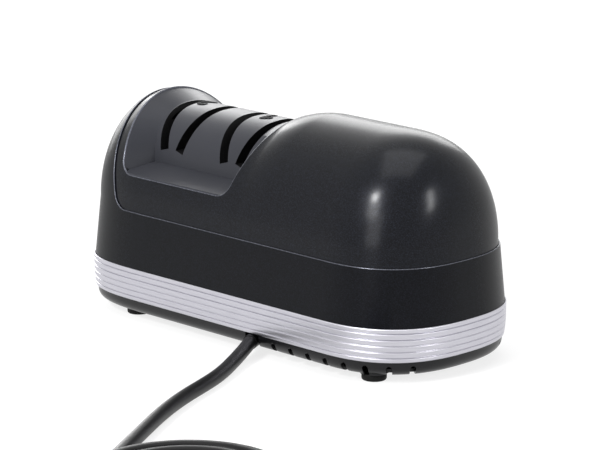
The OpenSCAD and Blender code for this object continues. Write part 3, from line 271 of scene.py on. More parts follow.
# Moulded grain is really up to 0.1 mm wide, a metal flake and a grinding mark about 0.03 mm. That is too fine
# to show from the camera's distance, so each grain, flake and streak is drawn several times as wide
finishes = {
    # Graphite ABS with metal flakes under a polished skin: dark, with a sparkling soft highlight
    "cover_gloss": flakedPlastic("flakedGraphiteAbs", {
        "base": "0B0C10", "flakeColour": "1D2028", "flake": 0.25, "flakeShare": 0.5, "metallic": 0.4,
        "roughness": 0.36, "ior": 1.4, "facing": 0.1, "coat": 0.25, "coatRoughness": 0.2}),
    # The same ABS in a darker mix with a thinner polished skin: nearly black, with a faint sparkle
    "housing_gloss": flakedPlastic("flakedBlackAbs", {
        "base": "090A0D", "flakeColour": "171920", "flake": 0.25, "flakeShare": 0.5, "metallic": 0.4,
        "roughness": 0.36, "ior": 1.4, "facing": 0.1, "coat": 0.15, "coatRoughness": 0.17}),
    # Spark-eroded dark grey ABS: flat and even, with a fine grain
    "head_matte": mouldedPlastic("sparkErodedGreyAbs", {
        "base": "2F3035", "lighter": "36373C", "grain": 0.6, "cloud": 30,
        "roughness": 0.38, "spread": 0.04, "bump": 0.2, "ior": 1.53, "facing": 0.15}),
    # Satin anodised aluminium, rolled along its length: bright, with soft streaks
    "band_metal": machinedMetal("satinAnodisedAluminium", {
        "base": "B4B3BB", "lighter": "CDCCD3", "grain": 0.5, "stretch": (0.05, 0.05, 1),
        "roughness": 0.38, "bump": 0.1}),
    # Fine-textured black ABS: near black with a soft grey sheen that brightens towards the table
    "pan_matte": mouldedPlastic("texturedBlackAbs", {
        "base": "0B0B0D", "lighter": "111113", "grain": 0.5, "cloud": 25,
        "roughness": 0.3, "spread": 0.05, "bump": 0.2, "ior": 1.53, "facing": 0.5}),
    # Compression-moulded rubber: dull black
    "foot_rubber": mouldedPlastic("mouldedBlackRubber", {
        "base": "0D0D0D", "lighter": "141413", "grain": 0.8, "cloud": 6,
        "roughness": 0.7, "spread": 0.08, "bump": 0.3, "ior": 1.52, "facing": 0.25}),
    # Zinc-plated steel, cold formed: bright, with a slight mottle
    "screw_steel": machinedMetal("zincPlatedSteel", {
        "base": "B9BABD", "lighter": "CFCFD1", "grain": 0.3, "roughness": 0.3, "bump": 0.1}),
    # Injection-moulded nylon: mid grey and half matt
    "bracket_plastic": mouldedPlastic("mouldedGreyNylon", {
        "base": "5B5D60", "lighter": "66686B", "grain": 0.5, "cloud": 12,
        "roughness": 0.55, "spread": 0.05, "bump": 0.2, "ior": 1.53}),
    # Bronze pressed from powder and sintered: warm brown with a dry, open grain
    "bush_bronze": machinedMetal("sinteredBronze", {
        "base": "9C7440", "lighter": "B78B52", "grain": 0.3, "roughness": 0.45, "bump": 0.3}),
    # Ground steel: bright, with fine streaks along the shaft
    "shaft_steel": machinedMetal("groundSteel", {
        "base": "C3C4C7", "lighter": "D6D7D9", "grain": 0.2, "stretch": (0.1, 1, 1),
        "roughness": 0.22, "bump": 0.1}),
    # Aluminium turned on a lathe: pale, with fine rings around it
    "coupling_metal": machinedMetal("turnedAluminium", {
        "base": "B4B5B9", "lighter": "C9CACD", "grain": 0.2, "stretch": (1, 0.1, 0.1),
        "roughness": 0.3, "bump": 0.2}),
    # Diamond grit bonded to a steel wheel: pale and rough for the fine stage, darker and coarser for the other
    "fine_grit": bondedGrit("fineDiamondGrit", {
        "base": "A7A193", "lighter": "CFC9BA", "grain": 0.4, "roughness": 0.6, "metallic": 0.3}),
    "coarse_grit": bondedGrit("coarseDiamondGrit", {
        "base": "5E5E60", "lighter": "8B8B8E", "grain": 0.8, "roughness": 0.6, "metallic": 0.4}),
    # Zinc-coated steel drawn into a can: plain grey, with streaks along the draw
    "motor_steel": machinedMetal("drawnZincSteel", {
        "base": "A2A4A8", "lighter": "B9BBBE", "grain": 0.6, "stretch": (0.1, 1, 1),
        "roughness": 0.35, "bump": 0.15}),
    # Sintered ferrite: dark grey and dull, like slate
    "magnet_ferrite": mouldedPlastic("sinteredFerrite", {
        "base": "35363A", "lighter": "414247", "grain": 0.4, "cloud": 5,
        "roughness": 0.6, "spread": 0.08, "bump": 0.4, "ior": 1.7}),
    # Moulded black nylon: half matt, a little lighter than the housing
    "motor_plastic": mouldedPlastic("mouldedBlackNylon", {
        "base": "232324", "lighter": "2C2C2D", "grain": 0.5, "cloud": 10,
        "roughness": 0.5, "spread": 0.05, "bump": 0.2, "ior": 1.53}),
    # Enamelled copper wire, wound in layers: warm red brown, with strands of light
    "copper": machinedMetal("enamelledCopper", {
        "base": "9E5630", "lighter": "C57543", "grain": 0.7, "stretch": (1, 0.2, 0.2),
        "roughness": 0.35, "bump": 0.5}),
    # Pressed carbon: charcoal, with a dusty grain
    "carbon": mouldedPlastic("pressedCarbon", {
        "base": "2A2928", "lighter": "383735", "grain": 0.3, "cloud": 3,
        "roughness": 0.55, "spread": 0.06, "bump": 0.3, "ior": 1.6}),
    # Polycarbonate from a satin mould: black, with a broad soft sheen
    "switch_matte": mouldedPlastic("satinBlackPolycarbonate", {
        "base": "161617", "lighter": "1D1D1E", "grain": 0.5, "cloud": 8,
        "roughness": 0.42, "spread": 0.04, "bump": 0.15, "ior": 1.58}),
    # Polycarbonate from a polished mould: black, with a clear sheen
    "rocker_gloss": mouldedPlastic("polishedBlackPolycarbonate", {
        "base": "121213", "lighter": "171718", "grain": 0.8, "cloud": 8,
        "roughness": 0.2, "spread": 0.03, "bump": 0.05, "ior": 1.58}),
    # Stamped brass strip: pale yellow and smooth
    "terminal_brass": machinedMetal("stampedBrass", {
        "base": "B79A57", "lighter": "D0B672", "grain": 0.3, "roughness": 0.3, "bump": 0.1}),
    # Glass fibre board under lacquer: deep green with a slight gloss
    "board": mouldedPlastic("lacqueredFibreBoard", {
        "base": "1E4D2D", "lighter": "275A36", "grain": 0.5, "cloud": 4,
        "roughness": 0.35, "spread": 0.05, "bump": 0.2, "ior": 1.55}),
    # Epoxy moulded round a component: charcoal and even
    "component": mouldedPlastic("mouldedEpoxy", {
        "base": "27282B", "lighter": "303135", "grain": 0.4, "cloud": 4,
        "roughness": 0.45, "spread": 0.05, "bump": 0.2, "ior": 1.55}),
    # Extruded soft PVC: black with a dull gloss along its length
    "cord_sheath": mouldedPlastic("extrudedBlackPvc", {
        "base": "0A0A0B", "lighter": "101011", "grain": 0.7, "cloud": 14,
        "roughness": 0.42, "spread": 0.06, "bump": 0.15, "ior": 1.53, "facing": 0.2}),
    # Soft PVC moulded round the pins: black and a little duller than the cord
    "plug_moulding": mouldedPlastic("mouldedBlackPvc", {
        "base": "0B0B0C", "lighter": "121213", "grain": 0.7, "cloud": 10,
        "roughness": 0.45, "spread": 0.05, "bump": 0.25, "ior": 1.53, "facing": 0.25}),
    # Nickel-plated brass: bright and slightly warm
    "pin_plated": machinedMetal("nickelPlatedBrass", {
        "base": "C9C7C2", "lighter": "DCDAD6", "grain": 0.3, "roughness": 0.22, "bump": 0.08}),
}
# Black ink rolled onto raised numerals: dull and darker than the head
numeralInk = mouldedPlastic("printedBlackInk", {
    "base": "060607", "lighter": "0B0B0C", "grain": 0.4, "cloud": 3,
    "roughness": 0.75, "spread": 0.05, "bump": 0.15, "ior": 1.3, "facing": 0.2})
# The cover's ABS drawn lighter on the round beads along rims and seams: a painted highlight, the fine light
# line these edges catch
edgePaintedHighlight = flakedPlastic("graphiteEdgePaintedHighlight", {
    "base": "4A4C54", "flakeColour": "6A6C76", "flake": 0.25, "flakeShare": 0.5, "metallic": 0.6,
    "roughness": 0.3, "ior": 1.53, "facing": 0.3, "coat": 0.3, "coatRoughness": 0.15})
# Painted shade: the faces deep in the slots and under the barrel's skin are drawn near black, with a coarse
# moulded texture
slotPaintedShade = mouldedPlastic("slotDepthPaintedShade", {
    "base": "050506", "lighter": "0B0B0C", "grain": 0.9, "cloud": 6,
    "roughness": 0.6, "spread": 0.08, "bump": 0.6, "ior": 1.45, "facing": 0.2})

for part in frame["record"]["subparts"]:
    shown = cadNodes[part["node"]]
    for holder in shown.material_slots:
        holder.link = "OBJECT"
        holder.material = finishes[part["material_slot"]]

print("cord")

cordSettings = {
    "diameter": 6.5,
    "exit": (19.4, -50.3, 6.6),
    "sinking": [(24.6, -60.5, 5.1), (30.4, -72, 3.9)],  # from the strain relief down to the table
    "lying": [(36, -83), (41, -93.5), (45.4, -104.5), (50.5, -118), (56.5, -132), (63.5, -146), (71.3, -160),
              (79.4, -174), (87.5, -188), (95.5, -202), (102.5, -214.1), (109.5, -226.2)],
    "lie": 3.3,  # height of the cord's middle on the table
    "turns": 4.25, "stepsPerTurn": 24, "startAngle": 210,
    "coil": 71,  # its mean diameter
    "spacing": 7.1,  # from turn to turn
    "layerGap": 0.6,  # between the coil's lower and upper turns
    "climb": 0.5,  # part of a turn over which the cord climbs onto the lower turns
    "plugThickness": 13.6,
    "tailSwing": 50, "tailOut": 15, "tailSteps": 8,
    "curveSteps": 4, "roundSteps": 5,
}


def ramp(t):
    return 0 if t <= 0 else 1 if t >= 1 else t * t * (3 - 2 * t)


def cordRoute(settings):
    lie, d, turns = settings["lie"], settings["diameter"], settings["turns"]
    route = [Vector(settings["exit"])] + [Vector(p) for p in settings["sinking"]]
    route += [Vector((x, y, lie)) for x, y in settings["lying"]]
    first = math.radians(settings["startAngle"])
    half = turns / 2
    out = settings["coil"] / 2 + settings["spacing"] * half / 2
    start = route[-1] + d * Vector((-math.sin(first), math.cos(first), 0))
    centre = start - out * Vector((math.cos(first), math.sin(first), 0))
    lift, climb = d + settings["layerGap"], settings["climb"]
    for i in range(round(turns * settings["stepsPerTurn"]) + 1):
        turn = i / settings["stepsPerTurn"]
        r = out - settings["spacing"] * (turn if turn < half else turns - turn)
        a = first + 2 * math.pi * turn
        rise = lift * ramp((turn - half + climb / 2) / climb)
        route.append(Vector((centre.x + r * math.cos(a), centre.y + r * math.sin(a), lie + rise)))
    last = first + 2 * math.pi * turns
    leave = d * Vector((-math.sin(last), math.cos(last), 0))
    for i in range(settings["tailSteps"] + 1):
        t = i / settings["tailSteps"]
        a = last + math.radians(settings["tailSwing"]) * t
        r = out + settings["tailOut"] * ramp(t)
        z = lie + lift - (lift + lie - settings["plugThickness"] / 2) * ramp(t)
        route.append(leave + Vector((centre.x + r * math.cos(a), centre.y + r * math.sin(a), z)))
    return route


def makeCord(settings):
    points = cordRoute(settings)
    data = bpy.data.curves.new("powerCord", "CURVE")
    data.dimensions = "3D"
    spline = data.splines.new("BEZIER")
    spline.bezier_points.add(len(points) - 1)
    for knot, p in zip(spline.bezier_points, points):
        knot.co = p * mm
        knot.handle_left_type = knot.handle_right_type = "AUTO"
    spline.resolution_u = settings["curveSteps"]
    data.bevel_depth = settings["diameter"] / 2 * mm
    data.bevel_resolution = settings["roundSteps"]
    data.use_fill_caps = True
    data.materials.append(finishes["cord_sheath"])
    cord = bpy.data.objects.new("powerCord", data)
    scene.collection.objects.link(cord)
    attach(cord, "housing")
    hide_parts("cord_run", "cord_coil", "cord_tail")
    return cord


powerCord = makeCord(cordSettings)

print("body forms")  # the mouldings share them

bodySizes = {
    "length": 220, "width": 98.4, "height": 106.5,
    "foot": 3.5, "pan": 6.8, "band": 15.7, "housing": 27,
    "wall": 2.6, "bandStand": 0.6, "draft": 5, "seamStep": 0.7,
    "spring": 2,  # the walls curve over into the roof this far above the seam
    "leftEnd": 58, "rightEnd": 47.3,
    "leftPower": 3.48, "rightPower": 2.49, "leftDome": 3.8, "rightDome": 2.7,  # how square the ends are
    "dip": 2.7, "dipStart": -45, "dipWidth": 16,  # the roof sinks towards the recess's right rim
    "rimLean": 16.5, "rimRound": 8, "rimWidth": 6.5,  # the recess's two rims lean outwards
    # how finely the skin, its hollow and the lines of its edges are drawn
    "rings": 34, "ringCrowding": 1.5,  # more than 1 draws the rings together towards each end's tip
    "middleCuts": (-36, -22, -12, -6, -2, 2), "dipSteps": 8,
    "archSteps": 96, "outlineSteps": 72, "innerRings": 16, "innerArchSteps": 40,
    "lineSteps": 44, "spanSteps": 30, "seamSteps": 24, "endSteps": 40,
}
halfWidth = bodySizes["width"] / 2
leftC = -bodySizes["length"] / 2 + bodySizes["leftEnd"]
rightC = bodySizes["length"] / 2 - bodySizes["rightEnd"]
panZ = bodySizes["foot"]
bandZ = panZ + bodySizes["pan"]
housingZ = bandZ + bodySizes["band"]
seamZ = housingZ + bodySizes["housing"]
springZ = seamZ + bodySizes["spring"]
archHeight = bodySizes["height"] - springZ
draftSlope = math.tan(math.radians(bodySizes["draft"]))
lean = math.radians(bodySizes["rimLean"])
housingInset = bodySizes["bandStand"] + (springZ - housingZ) * draftSlope
coverInset = housingInset + bodySizes["seamStep"]

headSizes = {
    "fineX": -59.5, "coarseX": -18.5,  # the middles of the two stages
    "barrelHalf": 26, "barrelTop": 99, "barrelFoot": 73.4, "barrelBase": 71.9, "barrelPower": 2.3,
    "barrelLeft": -70.7, "barrelRight": -9.9, "leftLean": 6,
    "shelfSlope": 9.5, "shelfRidge": 8, "skirt": 10, "wall": 2.4, "wallPush": 0.85,
    "rimLeft": -75, "rimRight": -4.5, "rimStep": 0.4, "rimFoot": 4, "flange": 1.4, "clearance": 0.1,
    "slotSpread": 20.5, "slotWidth": 5.4, "slotLean": 15.5, "slotDepth": 19.5,
    "slotRise": 30, "slotReach": 90,  # the slots' cutters go past the barrel
    "guideWall": 1.6, "guideDepth": 24,
    "spindleZ": 62, "wheelRadius": 24, "wheelGap": 9, "wheelRoom": 1.5, "wheelSteps": 64,
    # the last value is how deep under the barrel's skin the slots' painted shade starts
    "ringSteps": 96, "edge": 0.4, "paintedShadeDepth": 0.7,
    "lap": 1,  # how far joined forms go into each other
    "opening": ((-120, -80, -20), (40, 80, 6)),  # the box that opens its underside, from the skirt's foot up
}
shelfTan = math.tan(math.radians(headSizes["shelfSlope"]))
shelfZ = headSizes["barrelFoot"] - (halfWidth - coverInset - headSizes["barrelHalf"]) * shelfTan
dipX = headSizes["rimRight"] + (bodySizes["height"] - shelfZ) * math.tan(lean)
headLowZ = shelfZ - headSizes["skirt"]


# share of the full width that is left this far along a rounded end
def share(along, reach, power):
    return 1 if along <= 0 else max(0, 1 - (along / reach) ** power) ** (1 / power)


# a cosine or sine made squarer, as on a superellipse
def curved(t, power):
    return math.copysign(abs(t) ** (2 / power), t)


def outline(inset, steps):
    points = []
    for c, end, power, first in ((rightC, bodySizes["rightEnd"], bodySizes["rightPower"], -90),
                                 (leftC, bodySizes["leftEnd"], bodySizes["leftPower"], 90)):
        for i in range(steps + 1):
            t = math.radians(first + 180 * i / steps)
            points.append((c + (end - inset) * curved(math.cos(t), power),
                           (halfWidth - inset) * curved(math.sin(t), power)))
    return points


def dipAt(x):
    if x < dipX:
        return bodySizes["dip"] * ramp((x - bodySizes["dipStart"]) / (dipX - bodySizes["dipStart"]))
    return bodySizes["dip"] * max(0, 1 - (x - dipX) / bodySizes["dipWidth"]) ** 2


def widthAt(x, inset):
    if x < leftC:
        return (halfWidth - inset) * share(leftC - x, bodySizes["leftEnd"] - inset, bodySizes["leftPower"])
    return (halfWidth - inset) * share(x - rightC, bodySizes["rightEnd"] - inset, bodySizes["rightPower"])


def riseAt(x, inset):
    rise = archHeight + coverInset - inset - dipAt(x)
    if x < leftC:
        return rise * share(leftC - x, bodySizes["leftEnd"] - inset, bodySizes["leftDome"])
    return rise * share(x - rightC, bodySizes["rightEnd"] - inset, bodySizes["rightDome"])


def stations(steps):
    def part(i, power):
        return max(0, math.cos(math.pi / 2 * (i / steps) ** bodySizes["ringCrowding"])) ** (2 / power)
    left = [(-1, part(i, bodySizes["leftPower"])) for i in range(1, steps + 1)]
    count = bodySizes["dipSteps"]
    dip = [(0, dipX + bodySizes["dipWidth"] * i / count) for i in range(count + 1)]
    right = [(1, part(i, bodySizes["rightPower"])) for i in range(steps, 0, -1)]
    return left + [(0, x) for x in bodySizes["middleCuts"]] + dip + right


def stationX(station, inset):
    side, value = station
    if side == 0:
        return value
    if side < 0:
        return leftC - (bodySizes["leftEnd"] - inset) * value
    return rightC + (bodySizes["rightEnd"] - inset) * value


def section(station, inset, lowZ, steps):
    x = stationX(station, inset)
    a, h = widthAt(x, inset), riseAt(x, inset)
    lowInset = inset - (springZ - lowZ) * draftSlope
    lowX = stationX(station, lowInset)
    lowA = widthAt(lowX, lowInset)
    ring = [(lowX, -lowA, lowZ)]
    for i in range(steps + 1):
        t = math.pi * i / steps
        ring.append((x, -a * math.cos(t), springZ + h * math.sin(t)))
    return ring + [(lowX, lowA, lowZ)]


# 1 on the body's skin at this inset, more outside it
def bodyField(x, y, z, inset):
    wallInset = inset if z >= springZ else inset - (springZ - z) * draftSlope
    u, p, q = 0, 2, 2
    if x < leftC:
        u = (leftC - x) / (bodySizes["leftEnd"] - wallInset)
        p, q = bodySizes["leftPower"], bodySizes["leftDome"]
    elif x > rightC:
        u = (x - rightC) / (bodySizes["rightEnd"] - wallInset)
        p, q = bodySizes["rightPower"], bodySizes["rightDome"]
    a = abs(y) / (halfWidth - wallInset)
    if z < springZ:
        return u ** p + a ** p
    h = (z - springZ) / (archHeight + coverInset - inset - dipAt(x))
    both = a * a + h * h
    power = p + (q - p) * h * h / max(both, 1e-9)
    return u ** power + both ** (power / 2)


def surfaceNormal(p, inset):
    x, y, z = p
    step = 0.02
    normal = Vector((
        bodyField(x + step, y, z, inset) - bodyField(x - step, y, z, inset),
        bodyField(x, y + step, z, inset) - bodyField(x, y - step, z, inset),
        bodyField(x, y, z + step, inset) - bodyField(x, y, z - step, inset),
    ))
    if normal.length == 0:
        return Vector((0, 0, 1))
    normal.normalize()
    if z >= springZ - step:
        normal.z = max(normal.z, math.sin(math.radians(bodySizes["draft"])))
    return normal.normalized()


def meshPiece(name, points, faces, finish=None):
    mesh = bpy.data.meshes.new(name)
    mesh.from_pydata([tuple(c * mm for c in p) for p in points], [], faces)
    mesh.update()
    if finish:
        mesh.materials.append(finish)
    piece = bpy.data.objects.new(name, mesh)
    scene.collection.objects.link(piece)
    return piece


def faceOutward(piece):
    form = bmesh.new()
    form.from_mesh(piece.data)
    bmesh.ops.recalc_face_normals(form, faces=form.faces)
    form.to_mesh(piece.data)
    form.free()


def loftPiece(name, rings, finish=None, striped=False):
    n, last = len(rings[0]), len(rings) - 1
    faces = [(i * n + j, i * n + (j + 1) % n, (i + 1) * n + (j + 1) % n, (i + 1) * n + j)
             for i in range(last) for j in range(n)]
    for start in (0, last * n):
        if striped:  # a ring that mirrors itself is closed with level strips
            for j in range((n - 1) // 2):
                strip = [j, j + 1, n - 2 - j, n - 1 - j]
                if j + 1 == n - 2 - j:
                    strip = strip[:2] + strip[3:]
                faces.append(tuple(start + k for k in strip))
        else:
            faces.append(tuple(start + j for j in range(n)))
    piece = meshPiece(name, [p for ring in rings for p in ring], faces, finish)
    faceOutward(piece)
    return piece


# place turns a point of the flat profile and a depth into a point in space
def prism(profile, low, high, place):
    rings = [[place(a, b, depth) for a, b in profile] for depth in (low, high)]
    return loftPiece("cutter", rings)


def across(a, b, depth):
    return (a, depth, b)


def alongBody(a, b, depth):
    return (depth, a, b)


def upright(a, b, depth):
    return (a, b, depth)


def sideCutter(profile, reach=80):  # reaches past both sides of the body
    return prism(profile, -reach, reach, across)


def block(low, high):
    x0, y0, z0 = low
    x1, y1, z1 = high
    return prism([(x0, z0), (x1, z0), (x1, z1), (x0, z1)], y0, y1, across)


def settle(piece):
    graph = bpy.context.evaluated_depsgraph_get()
    made = bpy.data.meshes.new_from_object(piece.evaluated_get(graph))
    old = piece.data
    piece.modifiers.clear()
    piece.data = made
    bpy.data.meshes.remove(old)


def carve(piece, other, operation="DIFFERENCE"):
    cut = piece.modifiers.new("carve", "BOOLEAN")
    cut.object, cut.operation, cut.solver = other, operation, "EXACT"
    settle(piece)
    bpy.data.objects.remove(other)


def bodyForm(inset, lowZ, rings=bodySizes["rings"], archSteps=bodySizes["archSteps"]):
    rows = [section(s, inset, lowZ, archSteps) for s in stations(rings)]
    return loftPiece("bodyForm", rows, striped=True)


def hollowForm(inset, lowZ):
    return bodyForm(inset + bodySizes["wall"], lowZ, bodySizes["innerRings"], bodySizes["innerArchSteps"])


# the skin takes the form's own normals, so the mesh under it doesn't show in the gloss
def dressNormals(piece, inset, skinLimit=0.93):
    mesh = piece.data
    for polygon in mesh.polygons:
        polygon.use_smooth = True
    normals = []
    for polygon in mesh.polygons:
        skin = polygon.normal.dot(surfaceNormal(polygon.center / mm, inset)) > skinLimit
        for i in polygon.loop_indices:
            at = mesh.vertices[mesh.loops[i].vertex_index].co / mm
            normals.append(surfaceNormal(at, inset) if skin else polygon.normal.copy())
    mesh.normals_split_custom_set(normals)


def arc(cx, cz, r, fromAngle, toAngle, steps=10):
    for i in range(steps + 1):
        a = fromAngle + (toAngle - fromAngle) * i / steps
        yield (cx + r * math.cos(a), cz + r * math.sin(a))


roundBack = bodySizes["rimRound"] * (1 - math.sin(lean)) / math.cos(lean)
rimFootX = headSizes["rimLeft"] - bodySizes["rimWidth"] / math.cos(lean)
seamFoot = rimFootX + (shelfZ - seamZ) * math.tan(lean)


def recessProfile(grow, rise=50):
    r, left, right = bodySizes["rimRound"], headSizes["rimLeft"], headSizes["rimRight"]
    reach = rise * math.tan(lean) + grow / math.cos(lean)
    return ([(left - reach, shelfZ + rise)]
            + list(arc(left + roundBack, shelfZ + r, r + grow, math.pi + lean, 1.5 * math.pi))
            + list(arc(right - roundBack, shelfZ + r, r + grow, 1.5 * math.pi, 2 * math.pi - lean))
            + [(right + reach, shelfZ + rise)])


def housingProfile(grow, rise=70, beyond=130, below=-10):
    r = bodySizes["rimRound"]
    topX = seamFoot - rise * math.tan(lean) + grow / math.cos(lean)
    return ([(-beyond, below), (beyond, below), (beyond, seamZ + grow)]
            + list(arc(seamFoot + roundBack, seamZ + r, r - grow, 1.5 * math.pi, math.pi + lean))
            + [(topX, seamZ + rise), (-beyond, seamZ + rise)])


def sidePoint(x, z, inset):
    if z < springZ:
        return (x, widthAt(x, inset - (springZ - z) * draftSlope), z)
    return (x, widthAt(x, inset) * math.sqrt(max(0, 1 - ((z - springZ) / riseAt(x, inset)) ** 2)), z)


# a leaning plane's line over the arch, from its top down; each height is found by repeating
def archLine(lineX, lowZ, inset, firstRise=30, repeats=40):
    low = math.asin((lowZ - springZ) / riseAt(lineX(lowZ), inset))
    steps = bodySizes["lineSteps"]
    points = []
    for i in range(steps + 1):
        a = math.pi / 2 + (low - math.pi / 2) * i / steps
        z = springZ + firstRise
        for _ in range(repeats):
            z = springZ + riseAt(lineX(z), inset) * math.sin(a)
        points.append((lineX(z), widthAt(lineX(z), inset) * math.cos(a), z))
    return points


def closedOverTop(half):
    return half + [(x, -y, z) for x, y, z in reversed(half[1:-1])]


def recessLoop(grow, inset):
    r, left, right = bodySizes["rimRound"], headSizes["rimLeft"], headSizes["rimRight"]
    lowZ = shelfZ + r - (r + grow) * math.sin(lean)
    leftLine = archLine(lambda z: left - (z - shelfZ) * math.tan(lean) - grow / math.cos(lean), lowZ, inset)
    rightLine = archLine(lambda z: right + (z - shelfZ) * math.tan(lean) + grow / math.cos(lean), lowZ, inset)
    low = [sidePoint(x, z, inset) for x, z in recessProfile(grow)[1:-1]]
    turn, steps = len(low) // 2, bodySizes["spanSteps"]
    x0, x1 = low[turn - 1][0], low[turn][0]
    span = [sidePoint(x0 + (x1 - x0) * i / steps, shelfZ - grow, inset) for i in range(1, steps)]
    return closedOverTop(leftLine[:-1] + low[:turn] + span + low[turn:] + rightLine[-2::-1])


def seamLoop(grow, inset):
    r = bodySizes["rimRound"]
    lowZ = seamZ + r - (r - grow) * math.sin(lean)
    line = archLine(lambda z: seamFoot - (z - seamZ) * math.tan(lean) + grow / math.cos(lean), lowZ, inset)
    turned = arc(seamFoot + roundBack, seamZ + r, r - grow, math.pi + lean, 1.5 * math.pi)
    bend = [sidePoint(x, z, inset) for x, z in turned]
    z = seamZ + grow
    x0, steps = seamFoot + roundBack, bodySizes["seamSteps"]
    straight = [sidePoint(x0 + (rightC - x0) * i / steps, z, inset) for i in range(1, steps)]
    low, steps = inset - (springZ - z) * draftSlope, bodySizes["endSteps"]
    end = []
    for i in range(steps + 1):
        t = math.pi / 2 * (1 - i / steps)
        end.append((rightC + (bodySizes["rightEnd"] - low) * curved(math.cos(t), bodySizes["rightPower"]),
                    (halfWidth - low) * curved(math.sin(t), bodySizes["rightPower"]), z))
    return closedOverTop(line[:-1] + bend + straight + end)


# a closed round edge whose outermost line lies in the skin
def bead(name, loop, inset, radius, finish, sides=12):
    n = len(loop)
    points, faces = [], []
    for i, p in enumerate(loop):
        normal = surfaceNormal(p, inset)
        ahead = (Vector(loop[(i + 1) % n]) - Vector(loop[i - 1])).normalized()
        beside = ahead.cross(normal).normalized()
        centre = Vector(p) - radius * normal
        for k in range(sides):
            a = 2 * math.pi * k / sides
            points.append(centre + radius * (math.cos(a) * normal + math.sin(a) * beside))
    for i in range(n):
        m = (i + 1) % n
        for k in range(sides):
            j = (k + 1) % sides
            faces.append((i * sides + k, i * sides + j, m * sides + j, m * sides + k))
    piece = meshPiece(name, points, faces, finish)
    faceOutward(piece)
    for polygon in piece.data.polygons:
        polygon.use_smooth = True
    return piece


def mergeFlat(piece, distance=0.01, angle=0.5):
    form = bmesh.new()
    form.from_mesh(piece.data)
    bmesh.ops.remove_doubles(form, verts=form.verts, dist=distance * mm)
    bmesh.ops.dissolve_limit(form, angle_limit=math.radians(angle), verts=form.verts, edges=form.edges)
    form.to_mesh(piece.data)
    form.free()


def softEdges(piece, width, segments=2, bevelAngle=38, sharpAngle=32):
    edge = piece.modifiers.new("edge", "BEVEL")
    edge.width, edge.segments = width * mm, segments
    edge.limit_method, edge.angle_limit = "ANGLE", math.radians(bevelAngle)
    settle(piece)
    for polygon in piece.data.polygons:
        polygon.use_smooth = True
    piece.data.set_sharp_from_angle(angle=math.radians(sharpAngle))
    even = piece.modifiers.new("even", "WEIGHTED_NORMAL")
    even.keep_sharp = True
    settle(piece)


def body(piece, *nodes, slot, rider="housing"):
    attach(piece, rider)
    if nodes:
        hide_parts(*nodes)
    return piece


print("upper cover")

coverSettings = {"edge": 0.6, "seamShadow": -0.12, "below": 1, "hollowBelow": 3}


def makeCover(settings):
    cover = bodyForm(coverInset, seamZ - settings["below"])
    cover.name = "upperCover"
    cover.data.materials.append(finishes["cover_gloss"])
    carve(cover, hollowForm(coverInset, seamZ - settings["hollowBelow"]))
    carve(cover, sideCutter(housingProfile(settings["seamShadow"])))
    carve(cover, sideCutter(recessProfile(settings["edge"])))
    dressNormals(cover, coverInset)
    loop = recessLoop(settings["edge"], coverInset)
    # the bead's lighter finish paints the highlight along the recess's rim
    edge = bead("coverEdge", loop, coverInset, settings["edge"], edgePaintedHighlight)
    body(cover, "upper_cover", slot="cover_gloss")
    body(edge, slot="cover_gloss")


makeCover(coverSettings)

print("lower housing")

housingSettings = {
    "edge": 0.34, "hollowBelow": 1,
    "switchX": 24, "switchZ": 39.5,
    # the bezel's flat seat, and the hole for the switch behind it
    "bezelWidth": 26.2, "bezelHeight": 16.6, "bezelRoom": 1, "seatProud": 0.3, "seatCut": 20,
    "boxWidth": 23, "boxHeight": 13.4, "boxRoom": 0.05, "boxCut": 10,
}


def makeHousing(settings):
    housing = bodyForm(housingInset, housingZ)
    housing.name = "lowerHousing"
    housing.data.materials.append(finishes["housing_gloss"])
    carve(housing, hollowForm(housingInset, housingZ - settings["hollowBelow"]))
    carve(housing, sideCutter(housingProfile(-settings["edge"])), "INTERSECT")
    x, z = settings["switchX"], settings["switchZ"]
    seat = halfWidth - housingInset + settings["seatProud"]
    room, cut = settings["bezelRoom"], settings["seatCut"]
    w, h = settings["bezelWidth"] / 2 + room, settings["bezelHeight"] / 2 + room
    carve(housing, block((x - w, seat, z - h), (x + w, seat + cut, z + h)))
    room, cut = settings["boxRoom"], settings["boxCut"]
    w, h = settings["boxWidth"] / 2 + room, settings["boxHeight"] / 2 + room
    carve(housing, block((x - w, seat - cut, z - h), (x + w, seat + cut, z + h)))
    dressNormals(housing, housingInset)
    loop = seamLoop(-settings["edge"], housingInset)
    # the bead's lighter finish paints the highlight along the seam's ledge
    edge = bead("housingEdge", loop, housingInset, settings["edge"], edgePaintedHighlight)
    body(housing, "lower_housing", slot="housing_gloss")
    body(edge, slot="housing_gloss")


makeHousing(housingSettings)

print("knife head")

barrelRise = headSizes["barrelTop"] - headSizes["barrelBase"]


def barrelHeight(y):
    part = 1 - (abs(y) / headSizes["barrelHalf"]) ** headSizes["barrelPower"]
    return headSizes["barrelBase"] + barrelRise * part ** (1 / headSizes["barrelPower"])


def barrelRing(inset):
    power = headSizes["barrelPower"]
    points = []
    for i in range(headSizes["ringSteps"] + 1):
        t = math.pi * i / headSizes["ringSteps"]
        points.append((-(headSizes["barrelHalf"] - inset) * curved(math.cos(t), power),
                       headSizes["barrelBase"] + (barrelRise - inset) * curved(math.sin(t), power)))
    return points


def barrelEnd(x, slope, inset):
    half = headSizes["barrelHalf"] - inset
    return ([(x, -half, headLowZ)]
            + [(x + max(0, z - headSizes["barrelFoot"]) * slope, y, z) for y, z in barrelRing(inset)]
            + [(x, half, headLowZ)])


